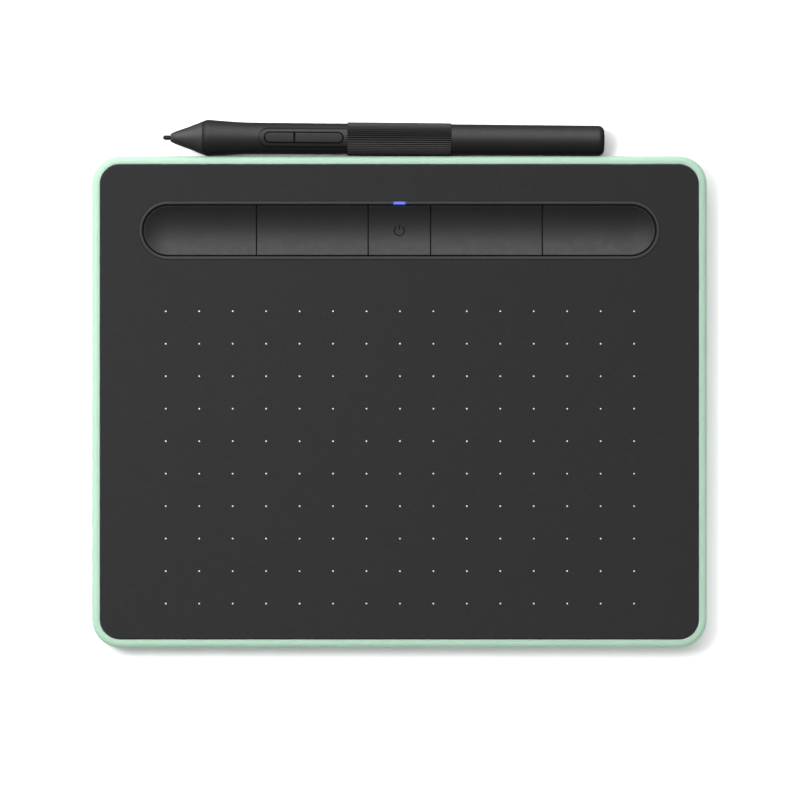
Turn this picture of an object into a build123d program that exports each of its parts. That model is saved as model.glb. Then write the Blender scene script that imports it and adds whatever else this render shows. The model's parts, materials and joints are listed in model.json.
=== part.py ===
from build123d import *
import os
from math import sqrt

# A slim pen drawing tablet with its battery-free pen lying behind it, as an
# assembly of separate pieces.  Millimetres, +Z up, the desk at z = 0.  The
# origin is on the desk under the middle of the tablet and pen together, +X is
# to the user's right and +Y points away from the user.
#
# Tablet pieces are drawn on level(z), a horizontal plane centred on the casing.
# Pen pieces are drawn along the pen's own +X axis, from the tip at its origin
# to the rear end, with the side switches on top, and then laid on the desk.

# Tablet casing ----------------------------------------------------------------
casing_width = 200.0
casing_depth = 159.8
casing_corner = 9.2
foot_height = 0.8
rim_top = 8.55
rim_round = 2.2
belly_round = 4.9
floor_top = 2.2
cavity_inset = 3.55
ledge_z = 6.9
opening_inset = 2.7

# Top cover and drawing surface
sheet_inset = 2.95
plate_top = 8.4
sheet_top = 8.8
skirt_inset = 3.75
skirt_wall = 1.0
skirt_z = 5.2

# Key recess, a round-ended trough behind the drawing area
recess_y = 55.69
recess_span = 150.3
lip_outer = 9.45
lip_inner = 8.45
lip_top = 8.95
key_half_depth = 8.15
key_gap = 0.35
inner_gap_x = 10.15
outer_gap_x = 46.5
dish_radius = 18.0
dish_axis_z = 24.2
key_wall = 1.2
key_skirt_z = 5.9
flange_half_depth = 9.6
flange_thickness = 0.8

# Boards and what stands on them
board_z = 2.9
board_thickness = 0.8
board_top = board_z + board_thickness
board_width = 160.0
board_front = 43.0
board_rear = 75.0
sensor_width = 164.0
sensor_front = -71.5
sensor_rear = 35.5
sensor_z = 6.05
sensor_thickness = 0.8
shield_thickness = 0.3
shield_margin = 4.0
port_x = 73.0
port_z = 4.95
led_y = 65.6

# Battery and its leads
battery_x = -25.0
battery_y = -14.0
battery_width = 60.0
battery_depth = 40.0
battery_height = 3.0
tape_thickness = 0.15
lead_radius = 0.5
lead_pitch = 1.6
lead_z = 4.4
socket_x = -56.0

# Feet and screws
foot_x = 88.0
foot_y = 68.0
foot_radius = 6.0
foot_thickness = 1.2
case_boss_radius = 3.2
cover_boss_radius = 2.5
board_screw_places = [(-74, 71), (58, 71), (12, 46.5)]

# Pen: s is the distance from the tip, r the radius there
pen_length = 143.7
nib_radius = 0.6
cone_front = 2.45
cone_front_radius = 1.1
cone_rear = 13.0
cone_rear_radius = 5.43
flare_s = 14.9
flare_radius = 5.93
waist_s = 28.0
waist_radius = 5.14
band_front = 60.0
band_front_radius = 5.45
band_rear = 93.8
band_rear_radius = 5.38
grip_rear_radius = 5.05
tail_front_radius = 5.05
tail_rear_radius = 4.91
tail_round = 2.0
grip_bore = 4.0
cone_spigot = 4.5
sleeve_spigot = 4.6
sleeve_spigot_rear = 70.0
tail_spigot = 4.15
tail_spigot_front = 84.0
tail_bore = 3.55
tail_bore_rear = 141.5
rib_count = 54
rib_groove = 0.16

# Pen side switches, a split pill in a raised pad
pad_front = 31.25
pad_half_width = 3.1
pad_crown = 7.0
pill_front = 33.3
pill_rear = 58.6
pill_half_width = 1.58
pill_clearance = 0.37
pill_split = 42.9
pill_top = 5.3
button_flange_top = 3.15
button_flange_bottom = 2.75
button_stem_bottom = 2.35

# Where the pen lies: its crest and its band both touch the desk and, but for
# a hair's breadth, the rear edge of the casing
pen_gap = 0.07
pen_tip_x = -77.0
pen_roll = 1.0
pen_slope = (flare_radius - band_rear_radius) / (band_rear - flare_s)
pen_overhang = pen_gap + 2 * flare_radius
casing_y = -pen_overhang / 2
rear_edge = casing_y + casing_depth / 2

pen_offset = flare_radius + flare_s * pen_slope
pen_tip = (pen_tip_x, rear_edge + pen_gap + pen_offset, pen_offset)
pen_axis = Vector(sqrt(1 - 2 * pen_slope**2), -pen_slope, -pen_slope)
pen_sideways = Vector(0, 0, 1).cross(pen_axis).normalized()
pen_up = pen_axis.cross(pen_sideways).rotate(Axis((0, 0, 0), pen_axis), -pen_roll)
pen_place = Plane(pen_tip, x_dir=pen_axis, z_dir=pen_up).location

os.makedirs("parts", exist_ok=True)


# Helpers ----------------------------------------------------------------------
def save(piece, name, place=Location()):
    """Label a finished piece, put it in its place and write it."""
    piece.part.label = name
    export_step(piece.part.moved(place), f"parts/{name}.step")


def level(z):
    """Horizontal plane at height z, centred on the casing."""
    return Plane((0, casing_y, z))


def across_port(y):
    """Upright plane across the USB connector, facing out of the port."""
    return Plane((port_x, casing_y + y, port_z), x_dir=(-1, 0, 0), z_dir=(0, 1, 0))


def section(s):
    """Plane across the pen at distance s from its tip; its +Y is the pen's up."""
    return Plane((s, 0, 0), x_dir=(0, 1, 0), z_dir=(1, 0, 0))


def casing_plan(inset, mode=Mode.ADD):
    """Draw the casing's plan, drawn in from its outer edge."""
    width = casing_width - 2 * inset
    depth = casing_depth - 2 * inset
    RectangleRounded(width, depth, casing_corner - inset, mode=mode)


def recess_plan(half_depth):
    """Draw the recess's round-ended plan to a distance from its centre line."""
    with Locations((0, recess_y)):
        SlotCenterToCenter(recess_span, 2 * half_depth)


def dish(radius):
    """Long capsule that rounds the keys' tops and undersides."""
    axis_plane = Plane(
        (0, casing_y + recess_y, dish_axis_z), x_dir=(1, 0, 0), z_dir=(0, -1, 0)
    )
    with BuildPart() as capsule:
        # Only the half on one side of the axis is turned
        with BuildSketch(axis_plane):
            SlotCenterToCenter(recess_span, 2 * radius)
            Rectangle(
                recess_span + 2 * radius,
                radius,
                align=(Align.CENTER, Align.MAX),
                mode=Mode.SUBTRACT,
            )
        revolve(axis=Axis(axis_plane.origin, axis_plane.x_dir))
    return capsule.part


def slab(x, y, z, width, depth, height):
    """Rectangular piece standing at height z, centred on x and y."""
    with BuildPart(level(z)) as piece:
        with Locations((x, y)):
            Box(width, depth, height, align=(Align.CENTER, Align.CENTER, Align.MIN))
    return piece


def turned(points):
    """Piece turned about the pen's axis from straight runs of (s, r) points."""
    with BuildPart() as piece:
        with BuildSketch(Plane.XZ):
            with BuildLine():
                Polyline(*points, close=True)
            make_face()
        revolve(axis=Axis.X)
    return piece


# Base shell -------------------------------------------------------------------
foot_places = [(x, y) for x in (-foot_x, foot_x) for y in (-foot_y, foot_y)]
foot_pocket = 0.4
foot_clearance = 0.2
boss_top = 4.6
head_seat = 2.9
head_bore = 2.1
shank_bore = 1.15
board_post_radius = 2.4
board_pilot = 0.85
board_pilot_depth = 1.5
port_width = 8.2
port_height = 3.2
port_recess_width = 12.0
port_recess_height = 4.2
port_recess_depth = 1.3
snap_width = 5.0
snap_bottom = 5.5
snap_top = 6.3
snap_reach = 0.45
snap_clearance = 0.15
front_snaps = (-60, -20, 20, 60)
side_snaps = (-40, 0, 40)


def snap_blocks(reach, grown):
    """Draw the snap hooks' plan, out to reach beyond the skirt."""
    half_width = casing_width / 2 - skirt_inset
    half_depth = casing_depth / 2 - skirt_inset
    width = snap_width + 2 * grown
    for side in (-1, 1):
        with Locations(*[(x, side * half_depth) for x in front_snaps]):
            Rectangle(width, 2 * reach)
        with Locations(*[(side * half_width, y) for y in side_snaps]):
            Rectangle(2 * reach, width)


with BuildPart() as base_shell:
    with BuildSketch(level(foot_height)):
        casing_plan(0)
    extrude(amount=rim_top - foot_height)
    fillet(base_shell.faces().sort_by(Axis.Z)[-1].edges(), radius=rim_round)
    fillet(base_shell.faces().sort_by(Axis.Z)[0].edges(), radius=belly_round)
    with BuildSketch(level(ledge_z)):
        casing_plan(opening_inset)
    extrude(amount=rim_top - ledge_z, mode=Mode.SUBTRACT)
    with BuildSketch(level(floor_top)):
        casing_plan(cavity_inset)
    extrude(amount=ledge_z - floor_top, mode=Mode.SUBTRACT)
    # Screw bosses over the feet, and posts under the main board
    with BuildSketch(level(floor_top)):
        with Locations(*foot_places):
            Circle(case_boss_radius)
    extrude(amount=boss_top - floor_top)
    with BuildSketch(level(floor_top)):
        with Locations(*board_screw_places):
            Circle(board_post_radius)
    extrude(amount=board_z - floor_top)
    with BuildSketch(level(foot_height)):
        with Locations(*foot_places):
            Circle(foot_radius + foot_clearance)
    extrude(amount=foot_pocket, mode=Mode.SUBTRACT)
    with BuildSketch(level(foot_height)):
        with Locations(*foot_places):
            Circle(head_bore)
    extrude(amount=head_seat - foot_height, mode=Mode.SUBTRACT)
    with BuildSketch(level(head_seat)):
        with Locations(*foot_places):
            Circle(shank_bore)
    extrude(amount=boss_top - head_seat, mode=Mode.SUBTRACT)
    with BuildSketch(level(board_z)):
        with Locations(*board_screw_places):
            Circle(board_pilot)
    extrude(amount=-board_pilot_depth, mode=Mode.SUBTRACT)
    # Pockets for the cover's snap hooks
    with BuildSketch(level(snap_bottom - snap_clearance)):
        snap_blocks(snap_reach + snap_clearance, snap_clearance)
    extrude(amount=snap_top - snap_bottom + 2 * snap_clearance, mode=Mode.SUBTRACT)
    # USB port: a recess for the plug's overmould, and the connector's opening
    with BuildSketch(across_port(casing_depth / 2)):
        SlotOverall(port_recess_width, port_recess_height)
    extrude(amount=-port_recess_depth, mode=Mode.SUBTRACT)
    with BuildSketch(across_port(casing_depth / 2)):
        RectangleRounded(port_width, port_height, port_height / 4)
    extrude(amount=-cavity_inset, mode=Mode.SUBTRACT)
save(base_shell, "base_shell")


# Rubber feet and the screws that they hide ------------------------------------
foot_edge = 0.3
with BuildPart() as rubber_feet:
    with BuildSketch(level(0)):
        with Locations(*foot_places):
            Circle(foot_radius)
    extrude(amount=foot_thickness)
    fillet(rubber_feet.edges().group_by(Axis.Z)[0], radius=foot_edge)
save(rubber_feet, "rubber_feet")


def screws(places, head_z, head_radius, head_height, shank_radius, shank_length, down):
    """Pan-head screws; their shanks point down or up from the head's seat."""
    turn = -1 if down else 1
    socket_radius = 0.55 * head_radius
    socket_depth = 0.5 * head_height
    with BuildPart() as group:
        with BuildSketch(level(head_z)):
            with Locations(*places):
                Circle(head_radius)
        extrude(amount=-turn * head_height)
        with BuildSketch(level(head_z)):
            with Locations(*places):
                Circle(shank_radius)
        extrude(amount=turn * shank_length)
        with BuildSketch(level(head_z - turn * head_height)):
            with Locations(*places):
                RegularPolygon(socket_radius, 6)
        extrude(amount=turn * socket_depth, mode=Mode.SUBTRACT)
    return group


case_screw_slack = 0.1
case_screws = screws(
    foot_places,
    head_seat - case_screw_slack,
    head_radius=1.9,
    head_height=1.3,
    shank_radius=1.0,
    shank_length=3.8,
    down=False,
)
save(case_screws, "case_screws")

board_screws = screws(
    board_screw_places,
    board_top,
    head_radius=1.8,
    head_height=1.1,
    shank_radius=0.8,
    shank_length=2.1,
    down=True,
)
save(board_screws, "board_screws")


# Top cover --------------------------------------------------------------------
cover_boss_bottom = 4.7
cover_pilot = 1.05
cover_pilot_depth = 2.3
lip_round = 0.35
window_width = 3.9
window_depth = 0.9
window_slack = 0.05
skirt_notch = 12.0

with BuildPart() as top_cover:
    with BuildSketch(level(ledge_z)):
        casing_plan(sheet_inset)
    extrude(amount=plate_top - ledge_z)
    with BuildSketch(level(plate_top)):
        recess_plan(lip_outer)
    extrude(amount=lip_top - plate_top)
    fillet(top_cover.faces().sort_by(Axis.Z)[-1].edges(), radius=lip_round)
    with BuildSketch(level(ledge_z)):
        recess_plan(lip_inner)
    extrude(amount=lip_top - ledge_z, mode=Mode.SUBTRACT)
    fillet(top_cover.faces().sort_by(Axis.Z)[-1].inner_wires()[0].edges(), radius=lip_round)
    # Skirt with snap hooks, notched for the USB connector
    with BuildSketch(level(skirt_z)):
        casing_plan(skirt_inset)
        casing_plan(skirt_inset + skirt_wall, Mode.SUBTRACT)
        with Locations((port_x, casing_depth / 2)):
            Rectangle(skirt_notch, casing_depth / 4, mode=Mode.SUBTRACT)
    extrude(amount=ledge_z - skirt_z)
    with BuildSketch(level(snap_bottom)):
        snap_blocks(snap_reach, 0)
    extrude(amount=snap_top - snap_bottom)
    with BuildSketch(level(cover_boss_bottom)):
        with Locations(*foot_places):
            Circle(cover_boss_radius)
    extrude(amount=ledge_z - cover_boss_bottom)
    with BuildSketch(level(cover_boss_bottom)):
        with Locations(*foot_places):
            Circle(cover_pilot)
    extrude(amount=cover_pilot_depth, mode=Mode.SUBTRACT)
    # Gap in the recess's lip for the status window
    with BuildSketch(level(ledge_z)):
        with Locations((0, recess_y + lip_inner)):
            Rectangle(window_width + 2 * window_slack, 2 * (window_depth + 2 * window_slack))
    extrude(amount=lip_top - ledge_z, mode=Mode.SUBTRACT)
save(top_cover, "top_cover")


# Drawing surface sheet --------------------------------------------------------
sheet_edge = 0.12
with BuildPart() as surface_sheet:
    with BuildSketch(level(plate_top)):
        casing_plan(sheet_inset)
    extrude(amount=sheet_top - plate_top)
    chamfer(surface_sheet.faces().sort_by(Axis.Z)[-1].edges(), length=sheet_edge)
    with BuildSketch(level(plate_top)):
        recess_plan(lip_outer + window_slack)
    extrude(amount=sheet_top - plate_top, mode=Mode.SUBTRACT)
save(surface_sheet, "surface_sheet")


# Keys and power button --------------------------------------------------------
key_blank_top = 8.4
key_bottom = dish_axis_z - dish_radius - key_wall
symbol_radius = 1.72
symbol_line = 0.35
symbol_depth = 0.13
symbol_reach = 1.0
symbol_bar_offset = 0.7 * symbol_radius
symbol_bar_length = 1.2 * symbol_radius
guide_notch_width = 6.8


def key_plan(left, right, half_depth):
    """Draw the part of the recess's plan between two x limits."""
    recess_plan(half_depth)
    with Locations(((left + right) / 2, recess_y)):
        Rectangle(right - left, casing_depth, mode=Mode.INTERSECT)


def key_cap(left, right):
    """One dished key between two x limits, with a flange under the cover."""
    with BuildPart() as key:
        with BuildSketch(level(key_bottom)):
            key_plan(left, right, key_half_depth)
        extrude(amount=key_blank_top - key_bottom)
        add(dish(dish_radius + key_wall), mode=Mode.INTERSECT)
        with BuildSketch(level(key_skirt_z)):
            key_plan(left, right, key_half_depth)
        extrude(amount=key_blank_top - key_skirt_z)
        with BuildSketch(level(key_skirt_z)):
            key_plan(left, right, flange_half_depth)
        extrude(amount=flange_thickness)
        add(dish(dish_radius), mode=Mode.SUBTRACT)
    return key


recess_end = recess_span / 2 + flange_half_depth
key_limits = {
    "key_1": (-recess_end, -outer_gap_x - key_gap / 2),
    "key_2": (-outer_gap_x + key_gap / 2, -inner_gap_x - key_gap / 2),
    "key_3": (inner_gap_x + key_gap / 2, outer_gap_x - key_gap / 2),
    "key_4": (outer_gap_x + key_gap / 2, recess_end),
}
for key_name, (key_left, key_right) in key_limits.items():
    save(key_cap(key_left, key_right), key_name)

# Standby symbol: a ring, open at the top, and a bar that stands in the opening
with BuildPart() as standby_symbol:
    with BuildSketch(level(dish_axis_z - dish_radius)):
        with Locations((0, recess_y)):
            Circle(symbol_radius + symbol_line / 2)
            Circle(symbol_radius - symbol_line / 2, mode=Mode.SUBTRACT)
        with Locations((0, recess_y + symbol_radius)):
            Rectangle(symbol_radius, symbol_radius, mode=Mode.SUBTRACT)
        with Locations((0, recess_y + symbol_bar_offset)):
            Rectangle(symbol_line, symbol_bar_length)
    extrude(amount=symbol_reach, both=True)
    add(dish(dish_radius + symbol_depth), mode=Mode.INTERSECT)

with BuildPart() as power_button:
    add(key_cap(-inner_gap_x + key_gap / 2, inner_gap_x - key_gap / 2).part)
    add(standby_symbol.part, mode=Mode.SUBTRACT)
    # The flange stops short of the light guide
    with BuildSketch(level(key_skirt_z)):
        with Locations((0, recess_y + key_half_depth)):
            Rectangle(
                guide_notch_width,
                flange_half_depth,
                align=(Align.CENTER, Align.MIN),
            )
    extrude(amount=flange_thickness, mode=Mode.SUBTRACT)
save(power_button, "power_button")


# Status light -----------------------------------------------------------------
guide_flange_z = 6.2
guide_flange_height = 0.6
guide_flange_width = 5.9
guide_flange_depth = 1.95
guide_foot_z = 4.55
guide_foot_width = 3.0
guide_foot_depth = 1.2
guide_front = recess_y + lip_inner + window_slack

with BuildPart(level(guide_flange_z)) as light_guide:
    with Locations((0, guide_front)):
        Box(
            window_width,
            window_depth,
            lip_top - guide_flange_z - window_slack,
            align=(Align.CENTER, Align.MIN, Align.MIN),
        )
        Box(
            guide_flange_width,
            guide_flange_depth,
            guide_flange_height,
            align=(Align.CENTER, Align.MIN, Align.MIN),
        )
    with Locations((0, led_y)):
        Box(
            guide_foot_width,
            guide_foot_depth,
            guide_flange_z - guide_foot_z,
            align=(Align.CENTER, Align.CENTER, Align.MAX),
        )
save(light_guide, "light_guide")

led_size = (1.6, 0.8, 0.6)
save(slab(0, led_y, board_top, *led_size), "status_led")


# Main board and the parts soldered to it --------------------------------------
board_screw_hole = 1.0
board_corner = 1.5
chip_place = (-22.0, 70.0)
chip_size = (7.0, 7.0, 0.9)
shield_can_place = (32.0, 70.6)
shield_can_width = 14.0
shield_can_depth = 7.6
shield_can_height = 1.6
shield_can_wall = 0.2
with BuildPart() as main_board:
    with BuildSketch(level(board_z)):
        with Locations((0, (board_front + board_rear) / 2)):
            RectangleRounded(board_width, board_rear - board_front, board_corner)
        with Locations(*board_screw_places):
            Circle(board_screw_hole, mode=Mode.SUBTRACT)
    extrude(amount=board_thickness)
save(main_board, "main_board")

save(slab(*chip_place, board_top, *chip_size), "main_chip")

with BuildPart(level(board_top)) as radio_shield:
    with Locations(shield_can_place):
        Box(
            shield_can_width,
            shield_can_depth,
            shield_can_height,
            align=(Align.CENTER, Align.CENTER, Align.MIN),
        )
        Box(
            shield_can_width - 2 * shield_can_wall,
            shield_can_depth - 2 * shield_can_wall,
            shield_can_height - shield_can_wall,
            align=(Align.CENTER, Align.CENTER, Align.MIN),
            mode=Mode.SUBTRACT,
        )
save(radio_shield, "radio_shield")

# Tactile switches: a body, and an actuator just under each key
switch_places = [
    (sum(limits) / 2, recess_y)
    for limits in (
        (-recess_span / 2 - key_half_depth, -outer_gap_x),
        (-outer_gap_x, -inner_gap_x),
        (-inner_gap_x, inner_gap_x),
        (inner_gap_x, outer_gap_x),
        (outer_gap_x, recess_span / 2 + key_half_depth),
    )
]
switch_size = 3.0
switch_height = 0.5
actuator_radius = 0.8
actuator_height = 0.2
with BuildPart() as key_switches:
    with BuildSketch(level(board_top)):
        with Locations(*switch_places):
            Rectangle(switch_size, switch_size)
    extrude(amount=switch_height)
    with BuildSketch(level(board_top + switch_height)):
        with Locations(*switch_places):
            Circle(actuator_radius)
    extrude(amount=actuator_height)
save(key_switches, "key_switches")


# USB connector ----------------------------------------------------------------
usb_width = 7.5
usb_height = 2.5
usb_wall = 0.3
usb_front = 72.9
usb_mouth = 78.5
usb_back_wall = 1.4
tongue_width = 5.4
tongue_height = 0.6
tongue_setback = 0.6
usb_corner = 0.6


def usb_plan(inset, mode=Mode.ADD):
    """Draw the connector's outline, drawn in from its outside."""
    width = usb_width - 2 * inset
    height = usb_height - 2 * inset
    RectangleRounded(width, height, usb_corner - inset, mode=mode)


with BuildPart() as usb_shell:
    with BuildSketch(across_port(usb_front)):
        usb_plan(0)
        usb_plan(usb_wall, Mode.SUBTRACT)
    extrude(amount=usb_mouth - usb_front)
save(usb_shell, "usb_shell")

with BuildPart() as usb_tongue:
    with BuildSketch(across_port(usb_front)):
        usb_plan(usb_wall)
    extrude(amount=usb_back_wall)
    with BuildSketch(across_port(usb_front + usb_back_wall)):
        Rectangle(tongue_width, tongue_height)
    extrude(amount=usb_mouth - tongue_setback - usb_front - usb_back_wall)
save(usb_tongue, "usb_tongue")


# Pen-sensing board, its shield, pads and ribbon -------------------------------
sensor_y = (sensor_front + sensor_rear) / 2
sensor_depth = sensor_rear - sensor_front
shield_z = sensor_z - shield_thickness
shield_width = sensor_width - 2 * shield_margin
shield_depth = sensor_depth - 2 * shield_margin
save(
    slab(0, sensor_y, sensor_z, sensor_width, sensor_depth, sensor_thickness), "sensor_board"
)
save(
    slab(0, sensor_y, shield_z, shield_width, shield_depth, shield_thickness), "shield_plate"
)

pad_size = 10.0
pad_pitch_x = 36.0
pad_pitch_y = 88.0
with BuildPart() as support_pads:
    with BuildSketch(level(floor_top)):
        with Locations((0, sensor_y)):
            with GridLocations(pad_pitch_x, pad_pitch_y, 5, 2):
                Rectangle(pad_size, pad_size)
    extrude(amount=shield_z - floor_top)
save(support_pads, "support_pads")

ribbon_width = 20.0
ribbon_thickness = 0.3
ribbon_x = -30.0
ribbon_z = 4.4
ribbon_front = 32.2
ribbon_rear = 46.5
ribbon_drop_start = 37.4
ribbon_drop_end = 40.4
ribbon_bend = 6.0
ribbon_socket_depth = 3.4
ribbon_socket_front = 44.0
ribbon_socket_height = 1.4
ribbon_socket_margin = 1.5
ribbon_slot = 0.5
ribbon_slot_margin = 0.2
ribbon_side = Plane(
    (ribbon_x, casing_y, 0), x_dir=(0, 1, 0), z_dir=(1, 0, 0)
)
with BuildPart() as sensor_ribbon:
    with BuildLine(ribbon_side):
        FilletPolyline(
            (ribbon_front, sensor_z - ribbon_thickness / 2),
            (ribbon_drop_start, sensor_z - ribbon_thickness / 2),
            (ribbon_drop_end, ribbon_z),
            (ribbon_rear, ribbon_z),
            radius=ribbon_bend,
        )
    with BuildSketch(
        Plane(
            (ribbon_x, casing_y + ribbon_front, sensor_z - ribbon_thickness / 2),
            x_dir=(1, 0, 0),
            z_dir=(0, 1, 0),
        )
    ):
        Rectangle(ribbon_width, ribbon_thickness)
    sweep()
save(sensor_ribbon, "sensor_ribbon")

with BuildPart(level(board_top)) as ribbon_socket:
    with Locations((ribbon_x, ribbon_socket_front)):
        Box(
            ribbon_width + 2 * ribbon_socket_margin,
            ribbon_socket_depth,
            ribbon_socket_height,
            align=(Align.CENTER, Align.MIN, Align.MIN),
        )
    with Locations((ribbon_x, ribbon_socket_front, ribbon_z - board_top)):
        Box(
            ribbon_width + 2 * ribbon_slot_margin,
            2 * (ribbon_rear - ribbon_socket_front + ribbon_slot_margin),
            ribbon_slot,
            mode=Mode.SUBTRACT,
        )
save(ribbon_socket, "ribbon_socket")


# Battery pack, its tape, leads and socket -------------------------------------
battery_z = floor_top + tape_thickness
battery_round = 1.0
tape_margin = 4.0
tape_width = battery_width - 2 * tape_margin
tape_depth = battery_depth - 2 * tape_margin
with BuildPart() as battery_pack:
    with BuildSketch(level(battery_z)):
        with Locations((battery_x, battery_y)):
            Rectangle(battery_width, battery_depth)
    extrude(amount=battery_height)
    fillet(battery_pack.edges().filter_by(Axis.Y), radius=battery_round)
save(battery_pack, "battery_pack")

save(
    slab(battery_x, battery_y, floor_top, tape_width, tape_depth, tape_thickness),
    "battery_tape",
)

lead_start_y = battery_y + battery_depth / 2
lead_end_y = 45.0
socket_depth = 4.2
socket_height = 1.4
socket_margin = 0.8
lead_count = 3
lead_run = 6.0
lead_bend = 24.0
lead_start_x = -50.0
lead_offsets = [(index - 1) * lead_pitch for index in range(lead_count)]
with BuildPart() as battery_leads:
    for offset_x in lead_offsets:
        with BuildLine(level(lead_z)) as lead_path:
            FilletPolyline(
                (lead_start_x + offset_x, lead_start_y),
                (lead_start_x + offset_x, lead_start_y + lead_run),
                (socket_x + offset_x, lead_end_y - lead_run),
                (socket_x + offset_x, lead_end_y),
                radius=lead_bend,
            )
        with BuildSketch(
            Plane(lead_path.line @ 0, z_dir=lead_path.line % 0)
        ):
            Circle(lead_radius)
        sweep(path=lead_path.line)
save(battery_leads, "battery_leads")

with BuildPart(level(board_top)) as battery_socket:
    with Locations((socket_x, lead_end_y)):
        Box(
            lead_count * lead_pitch + 2 * socket_margin,
            socket_depth,
            socket_height,
            align=(Align.CENTER, Align.MIN, Align.MIN),
        )
save(battery_socket, "battery_socket")


# Pen nib and nose -------------------------------------------------------------
nib_rear = 22.0
nib_point = 0.67
nose_bore = 0.8
nose_cavity_s = 6.3
nose_cavity_radius = 1.5
nose_spigot_rear = 17.0
nose_spigot_bore = 3.6
cone_shoulder = 5.04
cone_shoulder_radius = 2.35

with BuildPart() as nib:
    with BuildSketch(Plane.XZ):
        with BuildLine():
            Line((0, 0), (nib_rear, 0))
            Polyline(
                (nib_rear, 0), (nib_rear, nib_radius), (2 * nib_point, nib_radius)
            )
            Line((2 * nib_point, nib_radius), (nib_point, nib_point))
            ThreePointArc(
                (nib_point, nib_point),
                (nib_point * (1 - sqrt(0.5)), nib_point * sqrt(0.5)),
                (0, 0),
            )
        make_face()
    revolve(axis=Axis.X)
save(nib, "nib", pen_place)

nose_cone = turned(
    [
        (cone_front, nose_bore),
        (cone_front, cone_front_radius),
        (cone_shoulder, cone_shoulder_radius),
        (cone_rear, cone_rear_radius),
        (cone_rear, cone_spigot),
        (nose_spigot_rear, cone_spigot),
        (nose_spigot_rear, nose_spigot_bore),
        (cone_rear, nose_spigot_bore),
        (nose_cavity_s, nose_cavity_radius),
        (nose_cavity_s, nose_bore),
    ]
)
save(nose_cone, "nose_cone", pen_place)


# Pen coil and pressure sensor -------------------------------------------------
core_front = 8.0
core_rear = 19.0
core_bore = 1.0
core_radius = 1.7
winding_front = 12.5
winding_rear = 18.0
winding_radius = 3.0
sensor_cup_front = 20.0
sensor_cup_rear = 29.0
sensor_cup_radius = 3.3
sensor_cup_bore = 0.75
sensor_cup_bore_rear = 22.6


def tube(front, rear, bore, radius):
    """Plain tube along the pen's axis."""
    return turned([(front, bore), (front, radius), (rear, radius), (rear, bore)])


save(tube(core_front, core_rear, core_bore, core_radius), "coil_core", pen_place)
save(
    tube(winding_front, winding_rear, core_radius, winding_radius), "coil_winding", pen_place
)
pressure_sensor = turned(
    [
        (sensor_cup_front, sensor_cup_bore),
        (sensor_cup_front, sensor_cup_radius),
        (sensor_cup_rear, sensor_cup_radius),
        (sensor_cup_rear, 0),
        (sensor_cup_bore_rear, 0),
        (sensor_cup_bore_rear, sensor_cup_bore),
    ]
)
save(pressure_sensor, "pressure_sensor", pen_place)


# Front barrel -----------------------------------------------------------------
spigot_clearance = 0.1
crest_rise_s = 14.2
crest_rise_radius = 5.87
crest_fall_s = 15.7
crest_fall_radius = 5.9
grip_hollow_s = 21.6
grip_hollow_radius = 5.5
pad_top = 5.27


def pill_plan(front, rear, half_width):
    """Draw a round-ended plan along the pen's axis."""
    with Locations(((front + rear) / 2, 0)):
        SlotOverall(rear - front, 2 * half_width)


# Pad with a flatter crown than the barrel, round at its front end
with BuildPart() as switch_pad:
    with BuildSketch(Plane.XY):
        pill_plan(pad_front, 2 * band_front - pad_front, pad_half_width)
        with Locations((band_front, 0)):
            Rectangle(
                band_front,
                band_front,
                align=(Align.MIN, Align.CENTER),
                mode=Mode.SUBTRACT,
            )
    extrude(amount=pad_crown)
    with BuildSketch(section(pad_front)):
        with Locations((0, pad_top - pad_crown)):
            Circle(pad_crown)
    extrude(amount=band_front - pad_front, mode=Mode.INTERSECT)

with BuildPart() as front_barrel:
    with BuildSketch(Plane.XZ):
        with BuildLine():
            Line((cone_rear, cone_rear_radius), (crest_rise_s, crest_rise_radius))
            ThreePointArc(
                (crest_rise_s, crest_rise_radius),
                (flare_s, flare_radius),
                (crest_fall_s, crest_fall_radius),
            )
            ThreePointArc(
                (crest_fall_s, crest_fall_radius),
                (grip_hollow_s, grip_hollow_radius),
                (waist_s, waist_radius),
            )
            Polyline(
                (waist_s, waist_radius),
                (band_front, grip_rear_radius),
                (band_front, sleeve_spigot),
                (sleeve_spigot_rear, sleeve_spigot),
                (sleeve_spigot_rear, 0),
                (cone_rear, 0),
                (cone_rear, cone_rear_radius),
            )
        make_face()
    revolve(axis=Axis.X)
    add(switch_pad.part)
    with BuildSketch(section(cone_rear)):
        Circle(grip_bore)
    extrude(amount=sleeve_spigot_rear - cone_rear, mode=Mode.SUBTRACT)
    with BuildSketch(section(cone_rear)):
        Circle(cone_spigot + spigot_clearance)
    extrude(amount=nose_spigot_rear - cone_rear + spigot_clearance, mode=Mode.SUBTRACT)
    with BuildSketch(Plane.XY):
        pill_plan(
            pill_front - pill_clearance,
            pill_rear + pill_clearance,
            pill_half_width + pill_clearance,
        )
    extrude(amount=pad_crown, mode=Mode.SUBTRACT)
save(front_barrel, "front_barrel", pen_place)


# Side switch buttons and what lies under them ---------------------------------
button_crown = 12.0
button_flange_margin = 0.72
stem_radius = 0.8
pen_board_z = 0.4
pen_board_thickness = 0.6
pen_board_front = 30.5
pen_board_rear = 68.0
pen_board_half_width = 3.6
pen_switch_size = 2.6
pen_switch_height = 0.9
front_switch_s = 38.5
rear_switch_s = 50.5
tray_front = 19.6
tray_rear = 69.0
tray_radius = 3.85
tray_bore = 3.35


def button_plan(front, rear, margin):
    """Draw the part of the pill's plan, grown by margin, between two places."""
    pill_plan(pill_front - margin, pill_rear + margin, pill_half_width + margin)
    with Locations(((front + rear) / 2, 0)):
        Rectangle(rear - front, band_front, mode=Mode.INTERSECT)


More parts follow.
